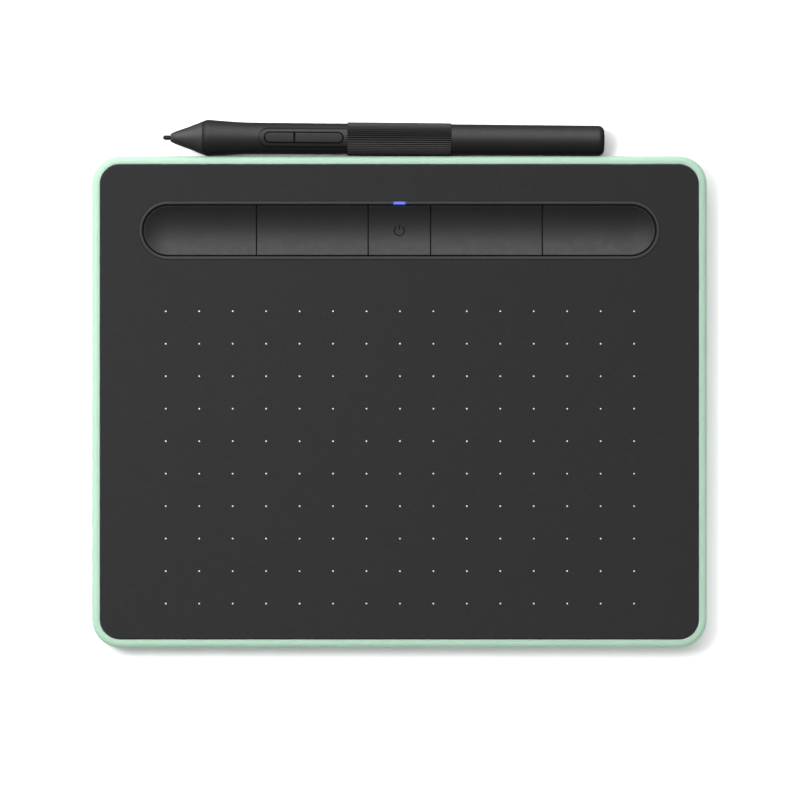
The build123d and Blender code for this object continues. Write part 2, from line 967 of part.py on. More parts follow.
def side_button(front, rear, stem_s):
    """One part of the split pill, with its flange and stem."""
    with BuildPart() as button:
        with BuildSketch(Plane.XY.offset(button_flange_bottom)):
            button_plan(front, rear, 0)
        extrude(amount=pad_crown - button_flange_bottom)
        with BuildSketch(section(pill_front)):
            with Locations((0, pill_top - button_crown)):
                Circle(button_crown)
        extrude(amount=pill_rear - pill_front, mode=Mode.INTERSECT)
        with BuildSketch(Plane.XY.offset(button_flange_bottom)):
            button_plan(front, rear, button_flange_margin)
        extrude(amount=button_flange_top - button_flange_bottom)
        with BuildSketch(Plane.XY.offset(button_stem_bottom)):
            with Locations((stem_s, 0)):
                Circle(stem_radius)
        extrude(amount=button_flange_bottom - button_stem_bottom)
    return button


split_half = key_gap / 2
front_button = side_button(pill_front - grip_bore, pill_split - split_half, front_switch_s)
save(front_button, "front_button", pen_place)
rear_button = side_button(pill_split + split_half, pill_rear + grip_bore, rear_switch_s)
save(rear_button, "rear_button", pen_place)

with BuildPart() as pen_board:
    with BuildSketch(Plane.XY.offset(pen_board_z)):
        with Locations(((pen_board_front + pen_board_rear) / 2, 0)):
            Rectangle(pen_board_rear - pen_board_front, 2 * pen_board_half_width)
    extrude(amount=pen_board_thickness)
save(pen_board, "pen_board", pen_place)

with BuildPart() as button_switches:
    with BuildSketch(Plane.XY.offset(pen_board_z + pen_board_thickness)):
        with Locations((front_switch_s, 0), (rear_switch_s, 0)):
            Rectangle(pen_switch_size, pen_switch_size)
    extrude(amount=pen_switch_height)
save(button_switches, "button_switches", pen_place)

# Tray that carries the pressure sensor and the pen's board
with BuildPart() as pen_chassis:
    with BuildSketch(section(tray_front)):
        Circle(tray_radius)
        Circle(tray_bore, mode=Mode.SUBTRACT)
        with Locations((0, pen_board_z)):
            Rectangle(
                2 * tray_radius,
                tray_radius,
                align=(Align.CENTER, Align.MIN),
                mode=Mode.SUBTRACT,
            )
    extrude(amount=tray_rear - tray_front)
save(pen_chassis, "pen_chassis", pen_place)


# Ribbed sleeve ----------------------------------------------------------------
sleeve_web_front = 70.2
sleeve_web_rear = 76.0
sleeve_web_bore = 3.5
sleeve_tail_bore = 4.3
sleeve_edge = 0.15

with BuildPart() as ribbed_sleeve:
    with BuildSketch(Plane.XZ):
        with BuildLine():
            Polyline(
                (band_front, sleeve_spigot + spigot_clearance),
                (band_front, band_front_radius - sleeve_edge),
                (band_front + sleeve_edge, band_front_radius),
                (band_rear - sleeve_edge, band_rear_radius),
                (band_rear, band_rear_radius - sleeve_edge),
                (band_rear, sleeve_tail_bore),
                (sleeve_web_rear, sleeve_tail_bore),
                (sleeve_web_rear, sleeve_web_bore),
                (sleeve_web_front, sleeve_web_bore),
                (sleeve_web_front, sleeve_spigot + spigot_clearance),
                close=True,
            )
        make_face()
    revolve(axis=Axis.X)
    with BuildSketch(section(band_front)):
        with PolarLocations(band_front_radius, rib_count):
            Circle(rib_groove)
    extrude(amount=band_rear - band_front, mode=Mode.SUBTRACT)
save(ribbed_sleeve, "ribbed_sleeve", pen_place)


# Rear barrel, nib store and spare nibs ----------------------------------------
with BuildPart() as rear_barrel:
    with BuildSketch(Plane.XZ):
        with BuildLine():
            Polyline(
                (pen_length - tail_round, tail_rear_radius),
                (band_rear, tail_front_radius),
                (band_rear, tail_spigot),
                (tail_spigot_front, tail_spigot),
                (tail_spigot_front, tail_bore),
                (tail_bore_rear, tail_bore),
                (tail_bore_rear, 0),
                (pen_length, 0),
                (pen_length, tail_rear_radius - tail_round),
            )
            ThreePointArc(
                (pen_length, tail_rear_radius - tail_round),
                (
                    pen_length - tail_round * (1 - sqrt(0.5)),
                    tail_rear_radius - tail_round * (1 - sqrt(0.5)),
                ),
                (pen_length - tail_round, tail_rear_radius),
            )
        make_face()
    revolve(axis=Axis.X)
save(rear_barrel, "rear_barrel", pen_place)

store_plug_front = 70.5
store_plug_rear = 78.0
store_plug_radius = 3.45
store_rear = 112.0
store_radius = 3.0
spare_bore = 0.75
spare_bore_depth = 12.0
spare_circle = 1.6
spare_length = 15.0
spare_count = 3
spare_edge = 0.3
with BuildPart() as nib_store:
    with BuildSketch(section(store_plug_front)):
        Circle(store_plug_radius)
    extrude(amount=store_plug_rear - store_plug_front)
    with BuildSketch(section(store_plug_rear)):
        Circle(store_radius)
    extrude(amount=store_rear - store_plug_rear)
    with BuildSketch(section(store_rear)):
        with PolarLocations(spare_circle, spare_count):
            Circle(spare_bore)
    extrude(amount=-spare_bore_depth, mode=Mode.SUBTRACT)
save(nib_store, "nib_store", pen_place)

spare_front = store_rear - spare_bore_depth + spigot_clearance
with BuildPart() as spare_nibs:
    with BuildSketch(section(spare_front)):
        with PolarLocations(spare_circle, spare_count):
            Circle(nib_radius)
    extrude(amount=spare_length)
    spare_ends = spare_nibs.faces().filter_by(Axis.X).group_by(Axis.X)[-1]
    chamfer(spare_ends.edges(), length=spare_edge)
save(spare_nibs, "spare_nibs", pen_place)
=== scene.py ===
import json
from math import cos, pi, radians, sin, sqrt

import bmesh
import bpy
from mathutils import Matrix, Vector


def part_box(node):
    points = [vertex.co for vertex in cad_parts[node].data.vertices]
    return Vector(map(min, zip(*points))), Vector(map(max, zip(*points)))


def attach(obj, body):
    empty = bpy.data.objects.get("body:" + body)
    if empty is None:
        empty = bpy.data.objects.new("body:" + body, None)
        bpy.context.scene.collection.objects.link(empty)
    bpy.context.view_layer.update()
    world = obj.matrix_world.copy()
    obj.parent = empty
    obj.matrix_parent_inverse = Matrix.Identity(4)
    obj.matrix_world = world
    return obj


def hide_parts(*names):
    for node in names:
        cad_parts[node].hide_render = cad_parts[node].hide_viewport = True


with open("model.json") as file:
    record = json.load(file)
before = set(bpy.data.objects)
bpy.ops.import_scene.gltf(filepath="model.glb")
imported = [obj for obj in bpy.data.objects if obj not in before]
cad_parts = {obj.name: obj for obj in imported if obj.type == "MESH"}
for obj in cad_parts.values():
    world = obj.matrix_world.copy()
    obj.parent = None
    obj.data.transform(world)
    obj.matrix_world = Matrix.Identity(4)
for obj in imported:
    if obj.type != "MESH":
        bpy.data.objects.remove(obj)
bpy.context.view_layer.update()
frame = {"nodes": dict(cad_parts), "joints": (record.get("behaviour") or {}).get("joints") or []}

# A slim drawing tablet with its pen lying behind it.  Lengths are in metres:
# sizes are given in millimetres times mm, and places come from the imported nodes.
mm = 0.001
SMOOTH_ANGLE = radians(38)


# Reading the frame ------------------------------------------------------------
def joint_axis(name):
    """Unit vector along which a joint slides."""
    joint = next(j for j in frame["joints"] if j["name"] == name)
    return Vector(joint["axis"]).normalized()


shell_low, shell_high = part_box("base_shell")
sheet_low, sheet_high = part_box("surface_sheet")
cover_low, cover_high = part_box("top_cover")
power_low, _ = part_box("power_button")
guide_low, guide_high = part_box("light_guide")
usb_low, usb_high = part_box("usb_shell")
foot_low, foot_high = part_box("rubber_feet")
centre = (shell_low + shell_high) / 2
casing_half = (shell_high - shell_low) / 2
sheet_half = (sheet_high - sheet_low) / 2
guide_middle = (guide_low + guide_high) / 2
usb_middle = (usb_low + usb_high) / 2

# The pen's own axes (along it from the tip, and up through the side switches), and
# the place that lays a piece modelled along x, with its tip at the origin, in the pen
pen_axis = joint_axis("nib_press")
pen_up = -joint_axis("front_button_press")
pen_side = pen_up.cross(pen_axis)
pen_turn = Matrix((pen_axis, pen_side, pen_up))
nib_places = [pen_turn @ vertex.co for vertex in frame["nodes"]["nib"].data.vertices]
nib_start = Vector([min(place[axis] for place in nib_places) for axis in range(3)])
nib_stop = Vector([max(place[axis] for place in nib_places) for axis in range(3)])
nib_length = nib_stop.x - nib_start.x
nib_tip = (nib_start + nib_stop) / 2 - Vector((nib_length / 2, 0, 0))
pen_place = pen_turn.transposed().to_4x4()
pen_place.translation = pen_turn.transposed() @ nib_tip


def along_pen(node):
    """Where a node starts and ends along the pen, in millimetres from the tip."""
    to_pen = pen_place.inverted()
    runs = [(to_pen @ vertex.co).x for vertex in frame["nodes"][node].data.vertices]
    return min(runs) / mm, max(runs) / mm


# Mesh helpers -----------------------------------------------------------------
def rounded_plan(half_width, half_depth, radius, steps=14):
    """Rounded rectangle round the origin, anticlockwise, as (x, y) points."""
    points = []
    for quarter in range(4):
        side_x = 1 if quarter in (0, 3) else -1
        side_y = 1 if quarter in (0, 1) else -1
        for step in range(steps + 1):
            angle = (quarter + step / steps) * pi / 2
            x = side_x * (half_width - radius) + radius * cos(angle)
            y = side_y * (half_depth - radius) + radius * sin(angle)
            points.append((x, y))
    return points


def slot_plan(half_span, radius, steps=48):
    """Round-ended slot along x round the origin, anticlockwise."""
    points = []
    for end in (1, -1):
        for step in range(steps + 1):
            angle = (step / steps - 0.5) * pi + (0 if end > 0 else pi)
            points.append((end * half_span + radius * cos(angle), radius * sin(angle)))
    return points


def circle_plan(radius, steps=48):
    """Circle round the origin, anticlockwise."""
    turns = [2 * pi * step / steps for step in range(steps)]
    return [(radius * cos(turn), radius * sin(turn)) for turn in turns]


def ring(bm, plan, place, z):
    """Vertices of a plan at height z, round a place."""
    return [bm.verts.new((place[0] + x, place[1] + y, z)) for x, y in plan]


def bridge(bm, lower, upper):
    """Faces between two rings of the same number of vertices."""
    count = len(lower)
    for index in range(count):
        after = (index + 1) % count
        bm.faces.new((lower[index], lower[after], upper[after], upper[index]))


def skin(bm, rings):
    """Faces from each ring to the next; returns the first and last ring."""
    for lower, upper in zip(rings, rings[1:]):
        bridge(bm, lower, upper)
    return rings[0], rings[-1]


def fill_flat(bm, loops):
    """Flat face inside the first ring and round the other rings."""
    edges = []
    for loop in loops:
        for index, vert in enumerate(loop):
            after = loop[(index + 1) % len(loop)]
            edges.append(bm.edges.get((vert, after)) or bm.edges.new((vert, after)))
    bmesh.ops.triangle_fill(bm, use_beauty=True, edges=edges)


def arc(centre_point, radius, start, end, steps):
    """Points on an arc, in degrees from the first axis towards the second."""
    turns = [radians(start + (end - start) * step / steps) for step in range(steps + 1)]
    u, v = centre_point
    return [(u + radius * cos(turn), v + radius * sin(turn)) for turn in turns]


def lathe(bm, profile, segments=96, closed=False):
    """Turn (s, r) points about the x axis; a point on the axis is one vertex."""
    rings = []
    for s, r in profile:
        if r < 1e-7:
            rings.append([bm.verts.new((s, 0, 0))])
            continue
        turns = [2 * pi * index / segments for index in range(segments)]
        rings.append([bm.verts.new((s, r * cos(turn), r * sin(turn))) for turn in turns])
    pairs = list(zip(rings, rings[1:]))
    if closed:
        pairs.append((rings[-1], rings[0]))
    for first, second in pairs:
        if len(first) == 1 or len(second) == 1:
            tip, rim = (first[0], second) if len(first) == 1 else (second[0], first)
            for index in range(segments):
                bm.faces.new((tip, rim[index], rim[(index + 1) % segments]))
        else:
            bridge(bm, first, second)
    return rings


def as_object(bm, name):
    """Object from a finished bmesh, its faces turned outwards."""
    bmesh.ops.remove_doubles(bm, verts=bm.verts, dist=1e-7)
    bmesh.ops.recalc_face_normals(bm, faces=bm.faces)
    mesh = bpy.data.meshes.new(name)
    bm.to_mesh(mesh)
    bm.free()
    piece = bpy.data.objects.new(name, mesh)
    bpy.context.scene.collection.objects.link(piece)
    return piece


def apply_modifiers(piece):
    """Make what the modifiers show the piece's own mesh."""
    graph = bpy.context.evaluated_depsgraph_get()
    shown = bpy.data.meshes.new_from_object(piece.evaluated_get(graph))
    piece.modifiers.clear()
    piece.data = shown


def cut(piece, cutter, operation="DIFFERENCE"):
    """Cut a piece with another solid, which is used up."""
    modifier = piece.modifiers.new("cut", "BOOLEAN")
    modifier.operation = operation
    modifier.solver = "EXACT"
    modifier.object = cutter
    apply_modifiers(piece)
    bpy.data.objects.remove(cutter)


def prism(name, plan, place, low, high):
    """Upright solid of one plan, mostly used as a cutter."""
    bm = bmesh.new()
    bottom = ring(bm, plan, place, low)
    top = ring(bm, plan, place, high)
    bridge(bm, bottom, top)
    bm.faces.new(bottom)
    bm.faces.new(top)
    return as_object(bm, name)


def block(name, low, high):
    """Box between two corners, used as a cutter."""
    half = (Vector(high) - Vector(low)) / 2
    middle = Vector(low) + half
    plan = [(-half.x, -half.y), (half.x, -half.y), (half.x, half.y), (-half.x, half.y)]
    return prism(name, plan, middle, low[2], high[2])


def soften(piece, width, segments=2, angle=40):
    """Round the sharp edges of a clean mesh by a small width."""
    modifier = piece.modifiers.new("edges", "BEVEL")
    modifier.width = width
    modifier.segments = segments
    modifier.limit_method = "ANGLE"
    modifier.angle_limit = radians(angle)
    apply_modifiers(piece)


def finish_piece(piece, body, material, slot, *nodes):
    """Shade a piece, give it its material, and hang it on its body."""
    piece.data.shade_smooth()
    piece.data.set_sharp_from_angle(angle=SMOOTH_ANGLE)
    weighted = piece.modifiers.new("normals", "WEIGHTED_NORMAL")
    weighted.keep_sharp = True
    piece.data.materials.clear()
    piece.data.materials.append(material)
    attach(piece, body)
    if nodes:
        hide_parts(*nodes)
    return piece


# Materials --------------------------------------------------------------------
BROAD = 9 * mm  # size of the lumps that vary a moulded colour
PATCH = 2.5 * mm  # size of the lumps that vary its roughness
WINDOW_MIDDLE = 0.45 * mm  # from the light guide's front to its window's middle


def srgb(red, green, blue):
    """Linear colour from 0-255 display values."""
    shares = [value / 255 for value in (red, green, blue)]
    linear = [c / 12.92 if c <= 0.04045 else ((c + 0.055) / 1.055) ** 2.4 for c in shares]
    return (*linear, 1)


def shaded(color, factor):
    """A colour made darker or lighter."""
    return (*[min(1, channel * factor) for channel in color[:3]], 1)


class Surface:
    """A node material under construction, with its shader and coordinates."""

    def __init__(self, name, color, roughness, metallic=0.0, specular=0.35):
        self.material = bpy.data.materials.new(name)
        self.material.use_nodes = True
        self.tree = self.material.node_tree
        self.shader = self.tree.nodes["Principled BSDF"]
        self.color = color
        self.shader.inputs["Base Color"].default_value = color
        self.shader.inputs["Roughness"].default_value = roughness
        self.shader.inputs["Metallic"].default_value = metallic
        self.shader.inputs["Specular IOR Level"].default_value = specular
        self.roughness = roughness
        self.place = self.tree.nodes.new("ShaderNodeTexCoord").outputs["Object"]

    def node(self, kind, **settings):
        """New node with its settings."""
        made = self.tree.nodes.new(kind)
        for key, value in settings.items():
            setattr(made, key, value)
        return made

    def link(self, output, socket):
        self.tree.links.new(output, socket)

    def noise(self, size, detail=2.0, stretch=None):
        """Noise whose lumps are about size across, in metres."""
        place = self.place
        if stretch:
            mapping = self.node("ShaderNodeMapping")
            mapping.inputs["Scale"].default_value = stretch
            self.link(place, mapping.inputs["Vector"])
            place = mapping.outputs["Vector"]
        texture = self.node("ShaderNodeTexNoise")
        texture.inputs["Scale"].default_value = 1 / size
        texture.inputs["Detail"].default_value = detail
        self.link(place, texture.inputs["Vector"])
        return texture.outputs["Fac"]

    def ranged(self, value, low, high, start=0.35, end=0.65):
        """A noise value spread between two numbers."""
        spread = self.node("ShaderNodeMapRange")
        spread.inputs["From Min"].default_value = start
        spread.inputs["From Max"].default_value = end
        spread.inputs["To Min"].default_value = low
        spread.inputs["To Max"].default_value = high
        self.link(value, spread.inputs["Value"])
        return spread.outputs["Result"]

    def vary_color(self, value, darker, lighter):
        """Blend the colour from a darker to a lighter shade by a 0-1 value."""
        mix = self.node("ShaderNodeMix", data_type="RGBA")
        mix.inputs["A"].default_value = shaded(self.color, darker)
        mix.inputs["B"].default_value = shaded(self.color, lighter)
        self.link(value, mix.inputs["Factor"])
        self.link(mix.outputs["Result"], self.shader.inputs["Base Color"])

    def vary_roughness(self, value, spread):
        """Move the roughness up and down by a noise value."""
        self.link(
            self.ranged(value, self.roughness - spread, self.roughness + spread),
            self.shader.inputs["Roughness"],
        )

    def bump(self, value, depth):
        """Raise the surface by a value, on top of what earlier calls raised."""
        bump = self.node("ShaderNodeBump")
        bump.inputs["Distance"].default_value = depth
        self.link(value, bump.inputs["Height"])
        normal = self.shader.inputs["Normal"]
        if normal.is_linked:
            self.link(normal.links[0].from_socket, bump.inputs["Normal"])
        self.link(bump.outputs["Normal"], normal)


def moulded_surface(
    name, color, roughness, grain=0.28 * mm, depth=0.012 * mm, shift=0.05, **looks
):
    """Moulded plastic: fine spark-eroded grain, and faint broad unevenness."""
    surface = Surface(name, color, roughness, **looks)
    surface.vary_color(surface.ranged(surface.noise(BROAD), 0, 1), 1 - shift, 1 + shift)
    surface.vary_roughness(surface.noise(PATCH, detail=3.0), 0.04)
    surface.bump(surface.noise(grain, detail=3.0), depth)
    return surface


def moulded(*settings, **looks):
    """Material of a plain moulded plastic."""
    return moulded_surface(*settings, **looks).material


def mint_plastic():
    """Pale translucent plastic: light spreads a little way under its surface."""
    surface = moulded_surface(
        "mint_plastic", (0.3, 0.43, 0.342, 1), 0.42, grain=0.35 * mm, shift=0.01
    )
    surface.shader.inputs["Subsurface Weight"].default_value = 0.85
    surface.shader.inputs["Subsurface Radius"].default_value = (1.0, 1.2, 1.0)
    surface.shader.inputs["Subsurface Scale"].default_value = 3.5 * mm
    return surface.material


def drawing_sheet():
    """Paper-like matt film: fine tooth, with a faint longer fibre in it."""
    surface = Surface("drawing_sheet", (0.017, 0.017, 0.0179, 1), 0.6, specular=0.06)
    fibre = surface.noise(0.5 * mm, detail=4.0, stretch=(0.45, 1, 1))
    surface.vary_color(surface.ranged(fibre, 0, 1), 0.94, 1.06)
    surface.vary_roughness(surface.noise(6 * mm, detail=3.0), 0.03)
    surface.bump(surface.noise(0.22 * mm, detail=4.0), 0.02 * mm)
    surface.bump(fibre, 0.01 * mm)
    return surface.material


def brushed(name, color, roughness):
    """Plated or rolled sheet metal with fine lengthwise brushing."""
    surface = Surface(name, color, roughness, metallic=1.0)
    lines = surface.noise(0.3 * mm, detail=3.0, stretch=(0.05, 1, 1))
    surface.vary_color(surface.ranged(lines, 0, 1), 0.88, 1.08)
    surface.vary_roughness(lines, 0.08)
    surface.bump(lines, 0.004 * mm)
    return surface.material


def circuit_board():
    """Near-black solder mask with copper tracks just raised under it."""
    surface = Surface("circuit_board", (0.008, 0.014, 0.012, 1), 0.35)
    tracks = surface.node("ShaderNodeTexBrick")
    tracks.inputs["Scale"].default_value = 1 / (9 * mm)
    tracks.inputs["Mortar Size"].default_value = 0.03
    surface.link(surface.place, tracks.inputs["Vector"])
    surface.vary_color(tracks.outputs["Fac"], 1.0, 1.7)
    surface.bump(tracks.outputs["Fac"], 0.03 * mm)
    return surface.material


def foam():
    """Closed-cell foam, pitted all over."""
    surface = Surface("foam_pad", (0.03, 0.03, 0.03, 1), 0.9)
    cells = surface.node("ShaderNodeTexVoronoi")
    cells.inputs["Scale"].default_value = 1 / (0.6 * mm)
    surface.link(surface.place, cells.inputs["Vector"])
    surface.vary_color(cells.outputs["Distance"], 0.6, 1.4)
    surface.bump(cells.outputs["Distance"], 0.1 * mm)
    return surface.material


def winding():
    """Enamelled copper wire wound side by side round the pen's axis."""
    surface = Surface("copper_wire", (0.55, 0.2, 0.08, 1), 0.3, metallic=1.0)
    turns = surface.node("ShaderNodeTexWave", bands_direction="X")
    turns.inputs["Scale"].default_value = 1 / (1.2 * mm)
    surface.link(surface.place, turns.inputs["Vector"])
    surface.vary_color(turns.outputs["Fac"], 0.6, 1.2)
    surface.bump(turns.outputs["Fac"], 0.05 * mm)
    return surface.material


def window_offset(surface, half_width, half_depth):
    """Offset from the status window's middle, as shares of two half sizes."""
    middle = (guide_middle.x, guide_low.y + WINDOW_MIDDLE, guide_high.z)
    offset = surface.node("ShaderNodeVectorMath", operation="SUBTRACT")
    offset.inputs[1].default_value = middle
    surface.link(surface.place, offset.inputs[0])
    shares = surface.node("ShaderNodeVectorMath", operation="MULTIPLY")
    shares.inputs[1].default_value = (1 / half_width, 1 / half_depth, 0)
    surface.link(offset.outputs["Vector"], shares.inputs[0])
    return shares.outputs["Vector"]


def glow(surface, distance, start, near_color, end, far_color):
    """Give off light that changes from one colour to another over a distance."""
    ramp = surface.node("ShaderNodeValToRGB")
    near, far = ramp.color_ramp.elements
    near.position, near.color = start, near_color
    far.position, far.color = end, far_color
    surface.link(distance, ramp.inputs["Fac"])
    surface.link(ramp.outputs["Color"], surface.shader.inputs["Emission Color"])
    surface.shader.inputs["Emission Strength"].default_value = 1.0


def lit_window():
    """Light guide over a blue status light: pale in the middle, deep at the rim."""
    surface = Surface("status_window", (0.01, 0.015, 0.1, 1), 0.35, specular=0.15)
    sides = surface.node("ShaderNodeVectorMath", operation="ABSOLUTE")
    surface.link(window_offset(surface, 2.9 * mm, 0.62 * mm), sides.inputs[0])
    parted = surface.node("ShaderNodeSeparateXYZ")
    surface.link(sides.outputs["Vector"], parted.inputs["Vector"])
    farther = surface.node("ShaderNodeMath", operation="MAXIMUM")
    surface.link(parted.outputs["X"], farther.inputs[0])
    surface.link(parted.outputs["Y"], farther.inputs[1])
    pale, deep = (0.16, 0.235, 0.78, 1), (0.022, 0.045, 0.26, 1)
    glow(surface, farther.outputs["Value"], 0.45, pale, 0.85, deep)
    return surface.material


def cover_plastic():
    """Dark moulded plastic, with a painted glow of blue light round the status window, given off
    by the plastic itself.
    """
    # Base colour a little above the keys' plastic: partly the lip's own lighter tone, partly a
    # painted highlight on the lip
    surface = moulded_surface(
        "cover_plastic", (0.012, 0.012, 0.0124, 1), 0.45, specular=0.5
    )
    # Painted glow: emission on the cover, strongest by the status window and fading out, stands
    # in for light spilled from it
    distance = surface.node("ShaderNodeVectorMath", operation="LENGTH")
    surface.link(window_offset(surface, 3.3 * mm, 1.75 * mm), distance.inputs[0])
    glow(surface, distance.outputs["Value"], 0.3, (0.0, 0.006, 0.1, 1), 1.0, (0, 0, 0, 1))
    return surface.material


MINT = mint_plastic()
COVER = cover_plastic()
SHEET = drawing_sheet()
KEY = moulded(
    "key_plastic", (0.0055, 0.0055, 0.0058, 1), 0.42,
    grain=0.4 * mm, depth=0.022 * mm, specular=0.48,
)
PEN = moulded(
    "pen_plastic", (0.006, 0.006, 0.0063, 1), 0.4,
    grain=0.3 * mm, depth=0.008 * mm, specular=0.45,
)
BAND = moulded("pen_band", (0.006, 0.006, 0.0062, 1), 0.42, grain=0.2 * mm, specular=0.5)
# Nose cone: the pen's plastic with its base colour lifted above the barrel's as a painted
# highlight; its sharper gloss comes from the lower roughness and higher specular
CONE = moulded("pen_cone", (0.014, 0.014, 0.0144, 1), 0.38, grain=0.3 * mm, specular=0.75)
BUTTON = moulded("pen_button", (0.01, 0.01, 0.0103, 1), 0.42, grain=0.2 * mm)
NIB = moulded("nib_plastic", (0.009, 0.009, 0.0093, 1), 0.5, grain=0.2 * mm, specular=0.2)
INK = moulded("grid_ink", (0.45, 0.45, 0.46, 1), 0.6, grain=0.15 * mm)
FOOT = moulded("foot_rubber", srgb(112, 116, 115), 0.8, grain=0.5 * mm, depth=0.03 * mm)
WINDOW = lit_window()
BLACK_NYLON = moulded("connector_plastic", srgb(34, 34, 35), 0.55)
WHITE_NYLON = moulded("white_plastic", srgb(226, 224, 216), 0.5)
RESIN = moulded("chip_resin", srgb(28, 28, 30), 0.6, grain=0.3 * mm, depth=0.02 * mm)
FILM = moulded("ribbon_film", srgb(228, 226, 214), 0.3, grain=1 * mm)
TAPE = moulded("tape", srgb(222, 210, 120), 0.6, grain=0.4 * mm)
INSULATION = moulded("lead_insulation", srgb(170, 30, 26), 0.45)
FERRITE = moulded("ferrite", srgb(70, 70, 72), 0.6, grain=0.15 * mm, depth=0.02 * mm)
TIN = brushed("shield_tin", (0.62, 0.62, 0.6, 1), 0.35)
STEEL = brushed("connector_steel", (0.55, 0.55, 0.56, 1), 0.3)
ZINC = brushed("screw_steel", (0.5, 0.5, 0.52, 1), 0.35)
CONTACT = brushed("switch_metal", (0.6, 0.6, 0.6, 1), 0.3)
FOIL = brushed("battery_foil", (0.6, 0.6, 0.62, 1), 0.4)
BOARD = circuit_board()
FOAM = foam()
COPPER = winding()

# What the carried-over CAD nodes are made of
CAD_MATERIALS = {
    "light_guide": WINDOW, "status_led": WHITE_NYLON, "key_switches": CONTACT,
    "main_board": BOARD, "main_chip": RESIN, "radio_shield": TIN,
    "usb_shell": STEEL, "usb_tongue": BLACK_NYLON, "battery_socket": WHITE_NYLON,
    "ribbon_socket": WHITE_NYLON, "sensor_ribbon": FILM, "sensor_board": BOARD,
    "shield_plate": TIN, "battery_pack": FOIL, "battery_tape": TAPE,
    "battery_leads": INSULATION, "support_pads": FOAM, "case_screws": ZINC,
    "board_screws": ZINC, "coil_core": FERRITE, "coil_winding": COPPER,
    "pressure_sensor": WHITE_NYLON, "pen_board": BOARD, "pen_chassis": BLACK_NYLON,
    "button_switches": CONTACT, "nib_store": BLACK_NYLON, "spare_nibs": NIB,
}
for node_name, node_material in CAD_MATERIALS.items():
    for node_slot in frame["nodes"][node_name].material_slots:
        node_slot.material = node_material


# Casing -----------------------------------------------------------------------
# Insets are measured inwards from the casing's outline
CORNER = 9.2 * mm
BELLY_ROUND = 4.9 * mm
RIM_ROUND = 1.7 * mm
OPENING_INSET = 2.6 * mm
CAVITY_INSET = 3.55 * mm
SHEET_INSET = casing_half.x - sheet_half.x
FLOOR = shell_low.z + 1.4 * mm
PLATE = 1.5 * mm
LEDGE = sheet_low.z - PLATE
FINE_EDGE = 0.12 * mm
BOSS_TOP = shell_low.z + 3.8 * mm
HEAD_SEAT = shell_low.z + 2.1 * mm
FOOT_RADIUS = 6 * mm
FOOT_PLAY = 0.2 * mm
FOOT_POCKET = 0.4 * mm
HEAD_BORE = 2.1 * mm
SHANK_BORE = 1.15 * mm
BOSS_RADIUS = 3.2 * mm
PORT_RECESS_SPAN = 3.9 * mm
PORT_RECESS_RADIUS = 2.1 * mm
PORT_RECESS_DEPTH = 1.3 * mm
PORT_HALF_WIDTH = 4.1 * mm
PORT_HALF_HEIGHT = 1.6 * mm
PORT_CORNER = 0.8 * mm
foot_places = [
    (x, y)
    for x in (foot_low.x + FOOT_RADIUS, foot_high.x - FOOT_RADIUS)
    for y in (foot_low.y + FOOT_RADIUS, foot_high.y - FOOT_RADIUS)
]


def casing_ring(bm, inset, z):
    """Ring of the casing's plan, drawn in by inset, at height z."""
    plan = rounded_plan(casing_half.x - inset, casing_half.y - inset, CORNER - inset)
    return ring(bm, plan, centre, z)


def port_cutter(name, plan, deep):
    """Solid of an (x, z) plan that reaches from behind the casing into its wall."""
    cutter = prism(name, plan, (0, 0), -deep, 5 * mm)
    turn = Matrix(((1, 0, 0), (0, 0, 1), (0, 1, 0))).to_4x4()
    turn.translation = (usb_middle.x, shell_high.y, usb_middle.z)
    cutter.data.transform(turn)
    cutter.data.flip_normals()
    return cutter


def make_base_shell():
    """Tray with a round belly, foot wells, screw bosses and the port's opening."""
    bm = bmesh.new()
    top, low = shell_high.z, shell_low.z
    profile = arc((BELLY_ROUND, low + BELLY_ROUND), BELLY_ROUND, 270, 180, 14)
    profile += arc((RIM_ROUND, top - RIM_ROUND), RIM_ROUND, 180, 90, 10)
    profile += arc((OPENING_INSET - FINE_EDGE, top - FINE_EDGE), FINE_EDGE, 90, 0, 3)
    profile += [(OPENING_INSET, LEDGE), (CAVITY_INSET, LEDGE), (CAVITY_INSET, FLOOR)]
    bottom, floor = skin(bm, [casing_ring(bm, inset, z) for inset, z in profile])
    pocket = FOOT_RADIUS + FOOT_PLAY
    well = [
        (pocket, low), (pocket, low + FOOT_POCKET), (HEAD_BORE, low + FOOT_POCKET),
        (HEAD_BORE, HEAD_SEAT), (SHANK_BORE, HEAD_SEAT), (SHANK_BORE, BOSS_TOP),
        (BOSS_RADIUS, BOSS_TOP), (BOSS_RADIUS, FLOOR),
    ]
    under_holes, floor_holes = [], []
    for place in foot_places:
        rings = [ring(bm, circle_plan(radius), place, z) for radius, z in well]
        first, last = skin(bm, rings)
        under_holes.append(first)
        floor_holes.append(last)
    fill_flat(bm, [bottom, *under_holes])
    fill_flat(bm, [floor, *floor_holes])
    shell = as_object(bm, "base_shell_skin")
    recess_plan = slot_plan(PORT_RECESS_SPAN, PORT_RECESS_RADIUS, 24)
    cut(shell, port_cutter("recess", recess_plan, PORT_RECESS_DEPTH))
    opening = rounded_plan(PORT_HALF_WIDTH, PORT_HALF_HEIGHT, PORT_CORNER, 6)
    cut(shell, port_cutter("opening", opening, CAVITY_INSET + 0.2 * mm))
    shell.visible_glossy = False
    return finish_piece(shell, "casing", MINT, "mint_plastic", "base_shell")


make_base_shell()


